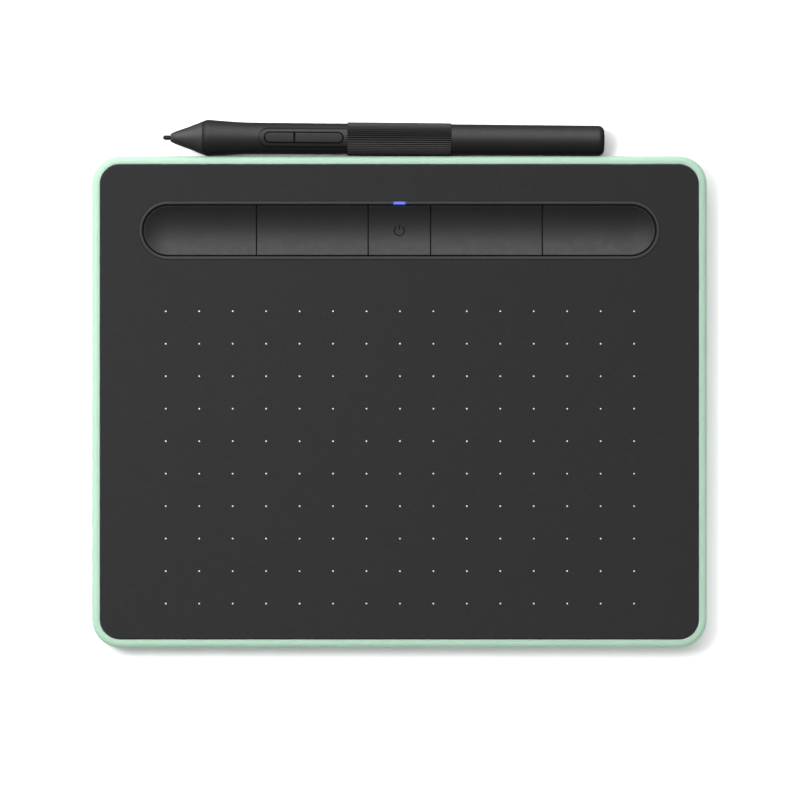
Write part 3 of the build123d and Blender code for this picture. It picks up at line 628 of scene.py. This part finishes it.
def make_feet():
    """Round feet with a rounded edge and a shallow groove in the sole."""
    bm = bmesh.new()
    edge = 0.35 * mm
    groove, groove_half, groove_depth, slope = 4.3 * mm, 0.2 * mm, 0.15 * mm, 0.1 * mm
    height = foot_high.z - foot_low.z
    profile = [(FOOT_RADIUS, height)] + arc((FOOT_RADIUS - edge, edge), edge, 360, 270, 5)
    profile += [(groove + groove_half + slope, 0), (groove + groove_half, groove_depth)]
    profile += [(groove - groove_half, groove_depth), (groove - groove_half - slope, 0)]
    for place in foot_places:
        rings = [
            ring(bm, circle_plan(radius, 64), place, foot_low.z + z) for radius, z in profile
        ]
        top, bottom = skin(bm, rings)
        bm.faces.new(top)
        bm.faces.new(bottom)
    feet = as_object(bm, "rubber_feet_turned")
    return finish_piece(feet, "casing", FOOT, "foot_rubber", "rubber_feet")


make_feet()


# Key recess: cover, lip, sheet ------------------------------------------------
# Half widths are measured from the centre line of the recess
KEY_HALF = 8.15 * mm
KEY_FLANGE = 9.6 * mm
LIP_INNER = 8.45 * mm
LIP_OUTER = 9.45 * mm
LIP_ROUND = 0.3 * mm
LIP_OUTER_ROUND = 0.17 * mm
COVER_GAP = 0.2 * mm
SKIRT_OUTER = 3.75 * mm
SKIRT_INNER = 4.75 * mm
SKIRT_DEPTH = 1.7 * mm
COVER_BOSS = 2.5 * mm
SCREW_HOLE = 1.05 * mm
SCREW_DEPTH = 2.3 * mm
recess = Vector((centre.x, power_low.y + KEY_FLANGE, 0))
RECESS_HALF_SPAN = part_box("key_4")[1].x - centre.x - KEY_FLANGE


def recess_ring(bm, radius, z):
    """Ring of the recess's round-ended plan at a distance from its centre line."""
    return ring(bm, slot_plan(RECESS_HALF_SPAN, radius), recess, z)


def make_cover():
    """Plate with a skirt and bosses under it and a lip round the key recess."""
    bm = bmesh.new()
    plate_top, lip_top = sheet_low.z, cover_high.z
    edge_inset = OPENING_INSET + COVER_GAP
    side = [(edge_inset, plate_top), (edge_inset, LEDGE)]
    rim, under = skin(bm, [casing_ring(bm, inset, z) for inset, z in side])
    skirt = [(SKIRT_OUTER, LEDGE), (SKIRT_OUTER, LEDGE - SKIRT_DEPTH)]
    skirt += [(SKIRT_INNER, LEDGE - SKIRT_DEPTH), (SKIRT_INNER, LEDGE)]
    outer, inner = skin(bm, [casing_ring(bm, inset, z) for inset, z in skirt])
    lip = [(LIP_INNER, LEDGE)]
    lip += arc((LIP_INNER + LIP_ROUND, lip_top - LIP_ROUND), LIP_ROUND, 180, 90, 6)
    outer_turn = (LIP_OUTER - LIP_OUTER_ROUND, lip_top - LIP_OUTER_ROUND)
    lip += arc(outer_turn, LIP_OUTER_ROUND, 90, 0, 4)
    lip += [(LIP_OUTER, plate_top)]
    mouth, foot = skin(bm, [recess_ring(bm, radius, z) for radius, z in lip])
    boss_holes = []
    boss = [(COVER_BOSS, LEDGE), (COVER_BOSS, cover_low.z)]
    boss += [(SCREW_HOLE, cover_low.z), (SCREW_HOLE, cover_low.z + SCREW_DEPTH)]
    for place in foot_places:
        rings = [ring(bm, circle_plan(radius, 32), place, z) for radius, z in boss]
        first, last = skin(bm, rings)
        bm.faces.new(last)
        boss_holes.append(first)
    fill_flat(bm, [rim, foot])
    fill_flat(bm, [under, outer])
    fill_flat(bm, [inner, mouth, *boss_holes])
    cover = as_object(bm, "top_cover_plate")
    # The light guide's window is narrower than its flange by this much at each end
    window_margin = 1 * mm - 0.05 * mm
    low = (guide_low.x + window_margin, recess.y, LEDGE - mm)
    high = (guide_high.x - window_margin, guide_low.y + 0.95 * mm, lip_top + mm)
    cut(cover, block("window_gap", low, high))
    # The skirt makes room for the port
    gap_half, gap_reach, gap_height, plate_play = 6 * mm, 10 * mm, 3 * mm, 0.01 * mm
    low = (usb_middle.x - gap_half, shell_high.y - gap_reach, LEDGE - gap_height)
    high = (usb_middle.x + gap_half, shell_high.y, LEDGE - plate_play)
    cut(cover, block("port_gap", low, high))
    return finish_piece(cover, "casing", COVER, "cover_plastic", "top_cover")


make_cover()


def make_sheet():
    """Film that covers the plate round the recess, its edges just rounded."""
    bm = bmesh.new()
    low, top = sheet_low.z, sheet_high.z
    side = [(SHEET_INSET, low)]
    side += arc((SHEET_INSET + FINE_EDGE, top - FINE_EDGE), FINE_EDGE, 180, 90, 3)
    under, rim = skin(bm, [casing_ring(bm, inset, z) for inset, z in side])
    hole = LIP_OUTER + 0.05 * mm
    edge = 0.08 * mm
    inner = [(hole, low), (hole, top - edge), (hole + edge, top)]
    under_hole, rim_hole = skin(bm, [recess_ring(bm, radius, z) for radius, z in inner])
    fill_flat(bm, [under, under_hole])
    fill_flat(bm, [rim, rim_hole])
    sheet = as_object(bm, "surface_sheet_film")
    return finish_piece(sheet, "casing", SHEET, "drawing_sheet", "surface_sheet")


make_sheet()


def make_dot_grid():
    """Printed dots that mark the drawing area, as thin discs of ink."""
    columns, rows = 15, 10
    width, depth = 152.2 * mm, 95 * mm
    pitch_x, pitch_y = width / (columns - 1), depth / (rows - 1)
    area = Vector((centre.x + 0.17 * mm, centre.y - 18.07 * mm, sheet_high.z))
    radius, sunk, raised = 0.26 * mm, 0.005 * mm, 0.012 * mm
    bm = bmesh.new()
    for column in range(columns):
        for row in range(rows):
            x = area.x + (column - (columns - 1) / 2) * pitch_x
            y = area.y + (row - (rows - 1) / 2) * pitch_y
            plan = circle_plan(radius, 20)
            low = ring(bm, plan, (x, y), area.z - sunk)
            high = ring(bm, plan, (x, y), area.z + raised)
            bridge(bm, low, high)
            bm.faces.new(low)
            bm.faces.new(high)
    dots = as_object(bm, "dot_grid")
    return finish_piece(dots, "casing", INK, "grid_ink")


make_dot_grid()


# Keys -------------------------------------------------------------------------
DISH_RADIUS = 18 * mm
KEY_WALL = 1.2 * mm
DISH_AXIS = power_low.z + DISH_RADIUS + KEY_WALL
KEY_EDGE = 0.32 * mm
SKIRT_LOW = power_low.z + 0.9 * mm
FLANGE_TOP = SKIRT_LOW + 0.8 * mm


def dish_height(offset, radius=DISH_RADIUS):
    """Height of the dish at a distance from the recess's centre line."""
    return DISH_AXIS - sqrt(radius**2 - offset**2)


def key_half_section():
    """Half of a key's section, as (distance from centre line, z), bottom to top."""
    under_radius = DISH_RADIUS + KEY_WALL
    bend = sqrt(under_radius**2 - (DISH_AXIS - SKIRT_LOW) ** 2)
    under_steps, dish_steps = 8, 24
    points = []
    for step in range(under_steps + 1):
        offset = bend * step / under_steps
        points.append((offset, dish_height(offset, under_radius)))
    points += [(KEY_FLANGE, SKIRT_LOW), (KEY_FLANGE, FLANGE_TOP), (KEY_HALF, FLANGE_TOP)]
    inner = KEY_HALF - KEY_EDGE
    top = dish_height(inner)
    points += arc((inner, top - KEY_EDGE), KEY_EDGE, 0, 90, 4)
    for step in range(1, dish_steps + 1):
        offset = inner * (1 - step / dish_steps)
        points.append((offset, dish_height(offset)))
    return points


def make_key(name, round_end=0):
    """A dished key; round_end is the side, -1 or 1, where it closes the recess."""
    low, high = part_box(name)
    half = key_half_section()
    end_x = recess.x + round_end * RECESS_HALF_SPAN
    left = end_x if round_end < 0 else low.x
    right = end_x if round_end > 0 else high.x
    bm = bmesh.new()
    sections = []
    for x in (left, right):
        rear = [bm.verts.new((x, recess.y + offset, z)) for offset, z in half]
        front = [bm.verts.new((x, recess.y - offset, z)) for offset, z in half[1:-1]]
        sections.append((rear, front))
    loops = [rear + front[::-1] for rear, front in sections]
    bridge(bm, loops[0], loops[1])
    if round_end:
        rear, front = sections[0 if round_end < 0 else 1]
        bm.faces.new(loops[1 if round_end < 0 else 0])
        columns = [rear[1:-1]]
        steps = 40
        for step in range(1, steps):
            turn = pi / 2 - round_end * pi * step / steps
            column = [
                bm.verts.new((end_x + offset * cos(turn), recess.y + offset * sin(turn), z))
                for offset, z in half[1:-1]
            ]
            columns.append(column)
        columns.append(front)
        for first, second in zip(columns, columns[1:]):
            for index in range(len(first) - 1):
                bm.faces.new((first[index], first[index + 1], second[index + 1], second[index]))
            bm.faces.new((rear[0], first[0], second[0]))
            bm.faces.new((rear[-1], first[-1], second[-1]))
    else:
        bm.faces.new(loops[0])
        bm.faces.new(loops[1])
    key = as_object(bm, name + "_cap")
    soften(key, 0.1 * mm)
    return key


for key_name, key_end in (("key_1", -1), ("key_2", 0), ("key_3", 0), ("key_4", 1)):
    finish_piece(make_key(key_name, key_end), key_name, KEY, "key_plastic", key_name)


def engrave(bm, path, side_ways, width, depth):
    """V-shaped cutter along a path of (x, y) points, sunk into the dish.

    It flares above the dish, by so little that a ring's inner sides don't meet.
    """
    reach = 0.8 * mm
    spread = width / 2 * (1 + reach / depth)
    sections = []
    for (x, y), side in zip(path, side_ways):
        level = dish_height(y)
        place = recess + Vector((x, y, 0))
        section = [
            place - side * spread + Vector((0, 0, level + reach)),
            place + Vector((0, 0, level - depth)),
            place + side * spread + Vector((0, 0, level + reach)),
        ]
        sections.append([bm.verts.new(corner) for corner in section])
    for first, second in zip(sections, sections[1:]):
        bridge(bm, first, second)
    bm.faces.new(sections[0])
    bm.faces.new(sections[-1])


def cut_standby_symbol(key):
    """Ring open at the top with a bar in the opening, engraved in the dish."""
    radius, width, depth = 1.6 * mm, 0.4 * mm, 0.2 * mm
    ring_start, ring_end = 128, 412
    ring_path = arc((0, 0), radius, ring_start, ring_end, 48)
    ring_sides = [Vector((x, y, 0)).normalized() for x, y in ring_path]
    bar_path = [(0, 0.3 * mm), (0, 2 * mm)]
    bar_sides = [Vector((1, 0, 0))] * len(bar_path)
    for path, sides in ((ring_path, ring_sides), (bar_path, bar_sides)):
        bm = bmesh.new()
        engrave(bm, path, sides, width, depth)
        cut(key, as_object(bm, "symbol_cutter"))


def make_power_button():
    """Middle key with the symbol, its flange open where the light guide stands."""
    key = make_key("power_button")
    cut_standby_symbol(key)
    gap_half, clear = 3.4 * mm, 0.1 * mm
    low = (guide_middle.x - gap_half, recess.y + KEY_HALF, SKIRT_LOW - clear)
    high = (guide_middle.x + gap_half, recess.y + 10 * mm, FLANGE_TOP + clear)
    cut(key, block("flange_gap", low, high))
    finish_piece(key, "power_button", KEY, "key_plastic", "power_button")


make_power_button()


# Pen --------------------------------------------------------------------------
def place_in_pen(piece):
    """Lay a piece that was modelled along x where the pen lies."""
    piece.data.transform(pen_place)
    return piece


def curve_through(first, middle, last, steps):
    """Points of the circle arc through three (s, r) points."""
    (ax, ay), (bx, by), (cx, cy) = first, middle, last
    d = 2 * (ax * (by - cy) + bx * (cy - ay) + cx * (ay - by))
    a2, b2, c2 = ax**2 + ay**2, bx**2 + by**2, cx**2 + cy**2
    ux = (a2 * (by - cy) + b2 * (cy - ay) + c2 * (ay - by)) / d
    uy = (a2 * (cx - bx) + b2 * (ax - cx) + c2 * (bx - ax)) / d
    radius = sqrt((ax - ux) ** 2 + (ay - uy) ** 2)
    side = 1 if ay > uy else -1
    points = []
    for step in range(steps + 1):
        s = ax + (cx - ax) * step / steps
        points.append((s, uy + side * sqrt(radius**2 - (s - ux) ** 2)))
    return points


def scaled(points):
    """Points in millimetres as points in metres."""
    return [(s * mm, r * mm) for s, r in points]


# Profiles of the pen are (distance from the tip, radius) points in millimetres
CONE_FRONT, CONE_SPIGOT_REAR = along_pen("nose_cone")
BARREL_FRONT, _ = along_pen("front_barrel")
BAND_FRONT, BAND_REAR = along_pen("ribbed_sleeve")
TAIL_SPIGOT_FRONT, PEN_END = along_pen("rear_barrel")
NIB_RADIUS = 0.8
NIB_NECK = 0.6
NOSE_BORE = 0.86
SEAM_RADIUS = 5.46
BARREL_BORE = 4.6
NARROW_BORE = 4.0
WAIST_FRONT_RADIUS = 5.14
WAIST_REAR_RADIUS = 5.05
TAIL_RADIUS = 5.04
SEAM = 0.1


def make_nib():
    """Round-ended point on a thinner neck."""
    bm = bmesh.new()
    profile = [(NIB_RADIUS - u, v) for u, v in arc((0, 0), NIB_RADIUS, 0, 90, 9)]
    rear = nib_length / mm
    profile += [(2.2, NIB_RADIUS - 0.01), (2.6, NIB_NECK), (rear, NIB_NECK), (rear, 0)]
    lathe(bm, scaled(profile), 40)
    nib = place_in_pen(as_object(bm, "nib_point"))
    return finish_piece(nib, "nib", NIB, "nib_plastic", "nib")


make_nib()


def make_nose():
    """Hollow cone with a blunt, slightly curved tip and a spigot for the barrel."""
    bm = bmesh.new()
    spigot_radius, neck_radius, wide_bore, wide_bore_front = 4.5, 3.6, 1.5, 6.3
    outer = [(CONE_FRONT + 0.02, NOSE_BORE + 0.02), (CONE_FRONT, 0.95)]
    outer += [(CONE_FRONT, 1.2), (CONE_FRONT + 0.14, 1.36)]
    outer += curve_through((CONE_FRONT + 0.5, 1.5), (3.7, 1.9), (5.04, 2.42), 8)
    outer += [(9.0, 3.82), (BARREL_FRONT - SEAM, 5.41), (BARREL_FRONT - 0.02, 5.36)]
    inner = [(BARREL_FRONT - 0.02, spigot_radius), (CONE_SPIGOT_REAR, spigot_radius)]
    inner += [(CONE_SPIGOT_REAR, neck_radius), (BARREL_FRONT, neck_radius)]
    inner += [(wide_bore_front, wide_bore), (wide_bore_front, NOSE_BORE)]
    lathe(bm, scaled(outer + inner), closed=True)
    nose = place_in_pen(as_object(bm, "nose_cone_turned"))
    return finish_piece(nose, "pen", CONE, "pen_plastic", "nose_cone")


make_nose()


def pill_plan(front, rear, half_width, inset=0.0, rounded=(True, True), steps=20):
    """Outline of a pill, or of a part cut off square, drawn in by inset."""
    radius = half_width - inset
    points = []
    for end, round_end, side in ((rear, rounded[1], 1), (front, rounded[0], -1)):
        for step in range(steps + 1):
            turn = (step / steps - 0.5) * pi
            if round_end:
                middle = end - side * half_width
                points.append((middle + side * radius * cos(turn), side * radius * sin(turn)))
            else:
                flat = end - side * max(inset, 0)
                points.append((flat, side * radius * (2 * step / steps - 1)))
    return points


# Side switches: the raised pad, and the pill-shaped opening in it
PAD_FRONT = 31.25 * mm
PAD_HALF_WIDTH = 3.1 * mm
PAD_TOP = 5.27 * mm
PAD_CROWN = 7 * mm
PILL_FRONT = 32.93 * mm
PILL_REAR = 58.97 * mm
PILL_HALF_WIDTH = 1.95 * mm


def crowned_ring(bm, plan, top, crown, drop):
    """Ring of a plan on a surface that curves down to the sides by a crown radius."""
    return [
        bm.verts.new((s, y, top - crown + sqrt(crown**2 - y**2) - drop)) for s, y in plan
    ]


def make_switch_pad():
    """Solid that raises the barrel round the side switches, flatter than the barrel."""
    rear = BAND_FRONT * mm
    bm = bmesh.new()

    def pad_outline(inset):
        plan = pill_plan(PAD_FRONT, rear, PAD_HALF_WIDTH, inset, (True, False))
        square = rear - PAD_HALF_WIDTH
        return [(min(s + (inset if s > square else 0), rear), y) for s, y in plan]

    rings = [[bm.verts.new((s, y, 4.1 * mm)) for s, y in pad_outline(0)]]
    # (inset, drop) in millimetres: round the edge, then across the top
    edge = [(0, 0.42), (0.12, 0.25), (0.25, 0.1), (0.4, 0.02), (0.5, 0)]
    level = [(0.8 + 0.3 * index, 0) for index in range(8)]
    for inset, drop in edge + level:
        plan = pad_outline(inset * mm)
        rings.append(crowned_ring(bm, plan, PAD_TOP, PAD_CROWN, drop * mm))
    bottom, last = skin(bm, rings)
    bm.faces.new(bottom)
    bm.faces.new(last)
    return as_object(bm, "switch_pad")


def make_pad_groove():
    """Cutter for the fine groove where the pad meets the barrel."""
    half, depth, top, barrel_radius = 0.13 * mm, 0.2 * mm, 6 * mm, 5.1 * mm
    rear = BAND_FRONT * mm + 1 * mm
    bm = bmesh.new()
    rings = []
    for inset, is_top in ((-half, False), (-half, True), (half, True), (half, False)):
        plan = pill_plan(PAD_FRONT, rear, PAD_HALF_WIDTH, inset, (True, False))
        heights = [top if is_top else sqrt(barrel_radius**2 - y**2) - depth for _, y in plan]
        rings.append([bm.verts.new((s, y, z)) for (s, y), z in zip(plan, heights)])
    skin(bm, [*rings, rings[0]])
    return as_object(bm, "pad_groove")


def make_front_barrel():
    """Flared grip with the pad, its groove and the opening for the side switches."""
    bm = bmesh.new()
    outer = [(BARREL_FRONT, 5.34), (BARREL_FRONT + SEAM, SEAM_RADIUS), (14.1, 5.84)]
    outer += curve_through((14.2, 5.87), (14.9, 5.927), (15.7, 5.9), 6)
    outer += curve_through((15.9, 5.88), (21.6, 5.46), (28.0, WAIST_FRONT_RADIUS), 16)[1:]
    outer += [(36, 5.12), (44, 5.09), (52, 5.07), (BAND_FRONT, WAIST_REAR_RADIUS)]
    inner = [(BAND_FRONT, BARREL_BORE), (70.0, BARREL_BORE), (70.0, NARROW_BORE)]
    inner += [(17.1, NARROW_BORE), (17.1, BARREL_BORE), (BARREL_FRONT, BARREL_BORE)]
    lathe(bm, scaled(outer + inner), closed=True, segments=128)
    barrel = as_object(bm, "front_barrel_turned")
    cut(barrel, make_switch_pad(), "UNION")
    cut(barrel, make_pad_groove())
    opening = pill_plan(PILL_FRONT, PILL_REAR, PILL_HALF_WIDTH, steps=32)
    cut(barrel, prism("pill_opening", opening, (0, 0), 1 * mm, 8 * mm))
    place_in_pen(barrel)
    return finish_piece(barrel, "pen", PEN, "pen_plastic", "front_barrel")


make_front_barrel()


def make_side_button(node, rounded):
    """One part of the split pill, softly crowned, with its flange."""
    front, rear = along_pen(node)
    flange, flange_low, flange_top = 0.72, 2.75, 3.15
    front += flange if rounded[0] else 0
    rear -= flange if rounded[1] else 0
    half_width, crown, top = 1.58 * mm, 12 * mm, 5.3 * mm
    bm = bmesh.new()
    rings = []
    for inset, z in ((-flange, flange_low), (-flange, flange_top), (0, flange_top)):
        plan = pill_plan(front * mm, rear * mm, half_width, inset * mm, rounded)
        rings.append([bm.verts.new((s, y, z * mm)) for s, y in plan])
    # (inset, drop) in millimetres: round the edge, then across the top
    edge = [(0, 0.3), (0.03, 0.17), (0.1, 0.07), (0.2, 0.02), (0.32, 0)]
    level = [(0.6, 0), (0.9, 0), (1.2, 0), (1.5, 0)]
    for inset, drop in edge + level:
        plan = pill_plan(front * mm, rear * mm, half_width, inset * mm, rounded)
        rings.append(crowned_ring(bm, plan, top, crown, drop * mm))
    bottom, last = skin(bm, rings)
    bm.faces.new(bottom)
    bm.faces.new(last)
    button = place_in_pen(as_object(bm, node + "_cap"))
    return finish_piece(button, node, BUTTON, "pen_button", node)


make_side_button("front_button", (True, False))
make_side_button("rear_button", (False, True))


def make_sleeve():
    """Sleeve with fine rounded ribs along it, divided by narrow grooves."""
    ribs = 46
    rib_shape = [(-0.5, 0.34), (-0.4, 0.3), (-0.25, 0.1), (0, 0), (0.25, 0.1), (0.4, 0.3)]
    turns = [
        (2 * pi * (rib + share) / ribs, drop)
        for rib in range(ribs)
        for share, drop in rib_shape
    ]
    front_radius, rear_radius, bore, rear_bore, edge = 5.45, 5.38, 4.7, 4.3, 0.18
    spigot_bore, spigot_front, spigot_rear = 3.5, 70.2, 76
    # (place, rise above the straight side, share of the ribs' depth), front to rear
    outer = [(BAND_FRONT, -edge, 0), (BAND_FRONT + 0.05, -0.08, 0.5), (BAND_FRONT + edge, 0, 1)]
    outer += [(BAND_REAR - edge, 0, 1), (BAND_REAR - 0.05, -0.08, 0.5), (BAND_REAR, -edge, 0)]
    inner = [(BAND_REAR, rear_bore), (spigot_rear, rear_bore), (spigot_rear, spigot_bore)]
    inner += [(spigot_front, spigot_bore), (spigot_front, bore), (BAND_FRONT, bore)]
    stations = []
    for s, rise, share in outer:
        along = (s - BAND_FRONT) / (BAND_REAR - BAND_FRONT)
        stations.append((s, front_radius + (rear_radius - front_radius) * along + rise, share))
    stations += [(s, radius, 0) for s, radius in inner]
    bm = bmesh.new()
    rings = []
    for s, radius, share in stations:
        points = [(turn, (radius - drop * share) * mm) for turn, drop in turns]
        rings.append([bm.verts.new((s * mm, r * cos(turn), r * sin(turn))) for turn, r in points])
    skin(bm, [*rings, rings[0]])
    sleeve = place_in_pen(as_object(bm, "ribbed_sleeve_turned"))
    return finish_piece(sleeve, "pen", BAND, "pen_band", "ribbed_sleeve")


make_sleeve()


def make_rear_barrel():
    """Slightly tapered tube with a rounded end, and a spigot that pushes in."""
    bm = bmesh.new()
    end_round, end_radius = 2.0, 4.91
    store_bore, store_end, spigot_radius, lead_in = 3.55, 141.5, 4.15, 0.15
    spigot_front = TAIL_SPIGOT_FRONT
    profile = [(store_end, 0), (store_end, store_bore), (spigot_front + 0.2, store_bore)]
    profile += [(spigot_front, store_bore + lead_in), (spigot_front, spigot_radius - lead_in)]
    profile += [(spigot_front + lead_in, spigot_radius), (BAND_REAR, spigot_radius)]
    profile += [(BAND_REAR, 4.92), (BAND_REAR + SEAM, TAIL_RADIUS), (110, 5.01), (126, 4.96)]
    profile += arc((PEN_END - end_round, end_radius - end_round), end_round, 90, 0, 12)
    profile += [(PEN_END - 0.03, 1.5), (PEN_END - 0.05, 0)]
    lathe(bm, scaled(profile), segments=128)
    barrel = place_in_pen(as_object(bm, "rear_barrel_turned"))
    return finish_piece(barrel, "rear_barrel", PEN, "pen_plastic", "rear_barrel")


make_rear_barrel()


# Stage: floor, light, camera --------------------------------------------------
def make_floor():
    """Plain pale slab just under the feet, hidden from reflections."""
    material = moulded("floor_paint", (0.93, 0.93, 0.93, 1), 0.9, grain=3 * mm, shift=0.002)
    half, thickness, clear = 4.0, 10 * mm, 0.02 * mm
    floor = block("floor", (-half, -half, -thickness), (half, half, -clear))
    floor.data.materials.append(material)
    floor.visible_glossy = False


def make_light(name, place, size, radiance):
    """Near soft light aimed at the origin; its own reflection is masked off."""
    light = bpy.data.lights.new(name, "AREA")
    light.shape = "SQUARE"
    light.size = size
    light.energy = radiance * pi * size**2
    lamp = bpy.data.objects.new(name, light)
    lamp.location = place
    lamp.rotation_euler = (-Vector(place)).to_track_quat("-Z", "Y").to_euler()
    lamp.visible_camera = False
    lamp.visible_glossy = False
    bpy.context.scene.collection.objects.link(lamp)


def make_world(peak, bright_side, shares):
    """Light tent, brightest towards one side, from (cosine, share of peak) points.

    The camera itself sees plain white behind everything.
    """
    world = bpy.data.worlds.new("studio")
    world.use_nodes = True
    nodes, links = world.node_tree.nodes, world.node_tree.links
    background = nodes["Background"]
    place = nodes.new("ShaderNodeTexCoord")
    cosine = nodes.new("ShaderNodeVectorMath")
    cosine.operation = "DOT_PRODUCT"
    cosine.inputs[1].default_value = Vector(bright_side).normalized()
    links.new(place.outputs["Generated"], cosine.inputs[0])
    spread = nodes.new("ShaderNodeMapRange")
    spread.inputs["From Min"].default_value = -1
    links.new(cosine.outputs["Value"], spread.inputs["Value"])
    ramp = nodes.new("ShaderNodeValToRGB")
    stops = ramp.color_ramp.elements
    while len(stops) < len(shares):
        stops.new(0.5)
    for stop, (turn, share) in zip(stops, shares):
        stop.position = (turn + 1) / 2
        stop.color = (share, share, share, 1)
    links.new(spread.outputs["Result"], ramp.inputs["Fac"])
    seen = nodes.new("ShaderNodeLightPath")
    shown = nodes.new("ShaderNodeMix")
    shown.data_type = "RGBA"
    shown.inputs["B"].default_value = (1 / peak, 1 / peak, 1 / peak, 1)
    links.new(seen.outputs["Is Camera Ray"], shown.inputs["Factor"])
    links.new(ramp.outputs["Color"], shown.inputs["A"])
    links.new(shown.outputs["Result"], background.inputs["Color"])
    background.inputs["Strength"].default_value = peak
    bpy.context.scene.world = world


def make_camera():
    """Straight down from well above, so that the view is nearly parallel."""
    height = 1.55
    frame_width = 260.46 * mm
    rim_height = 6 * mm
    off_x, off_y = 0.195 * mm, 0.586 * mm
    data = bpy.data.cameras.new("camera")
    data.sensor_width = 36.0
    data.lens = data.sensor_width * (height - rim_height) / frame_width
    data.clip_start = 0.1
    data.clip_end = 20
    camera = bpy.data.objects.new("camera", data)
    camera.location = (centre.x + off_x, centre.y + off_y, height)
    bpy.context.scene.collection.objects.link(camera)
    bpy.context.scene.camera = camera


# Light tent: (cosine of the angle from its bright side, share of its peak brightness)
TENT_PEAK = 3.28
TENT_SIDE = (-0.2, 0.72, 0.69)
TENT_SHARES = (
    (-0.25, 0.03), (0.39, 0.11), (0.68, 0.215), (0.816, 0.52), (0.934, 0.8),
    (0.983, 0.87), (1.0, 1.0),
)
make_floor()
make_world(TENT_PEAK, TENT_SIDE, TENT_SHARES)
make_light("key_light", place=(-0.24, 0.12, 0.42), size=0.24, radiance=15.5)
make_light("fill_light", place=(0.35, -0.45, 0.25), size=0.5, radiance=1.7)
make_camera()
bpy.context.scene.view_settings.view_transform = "Standard"
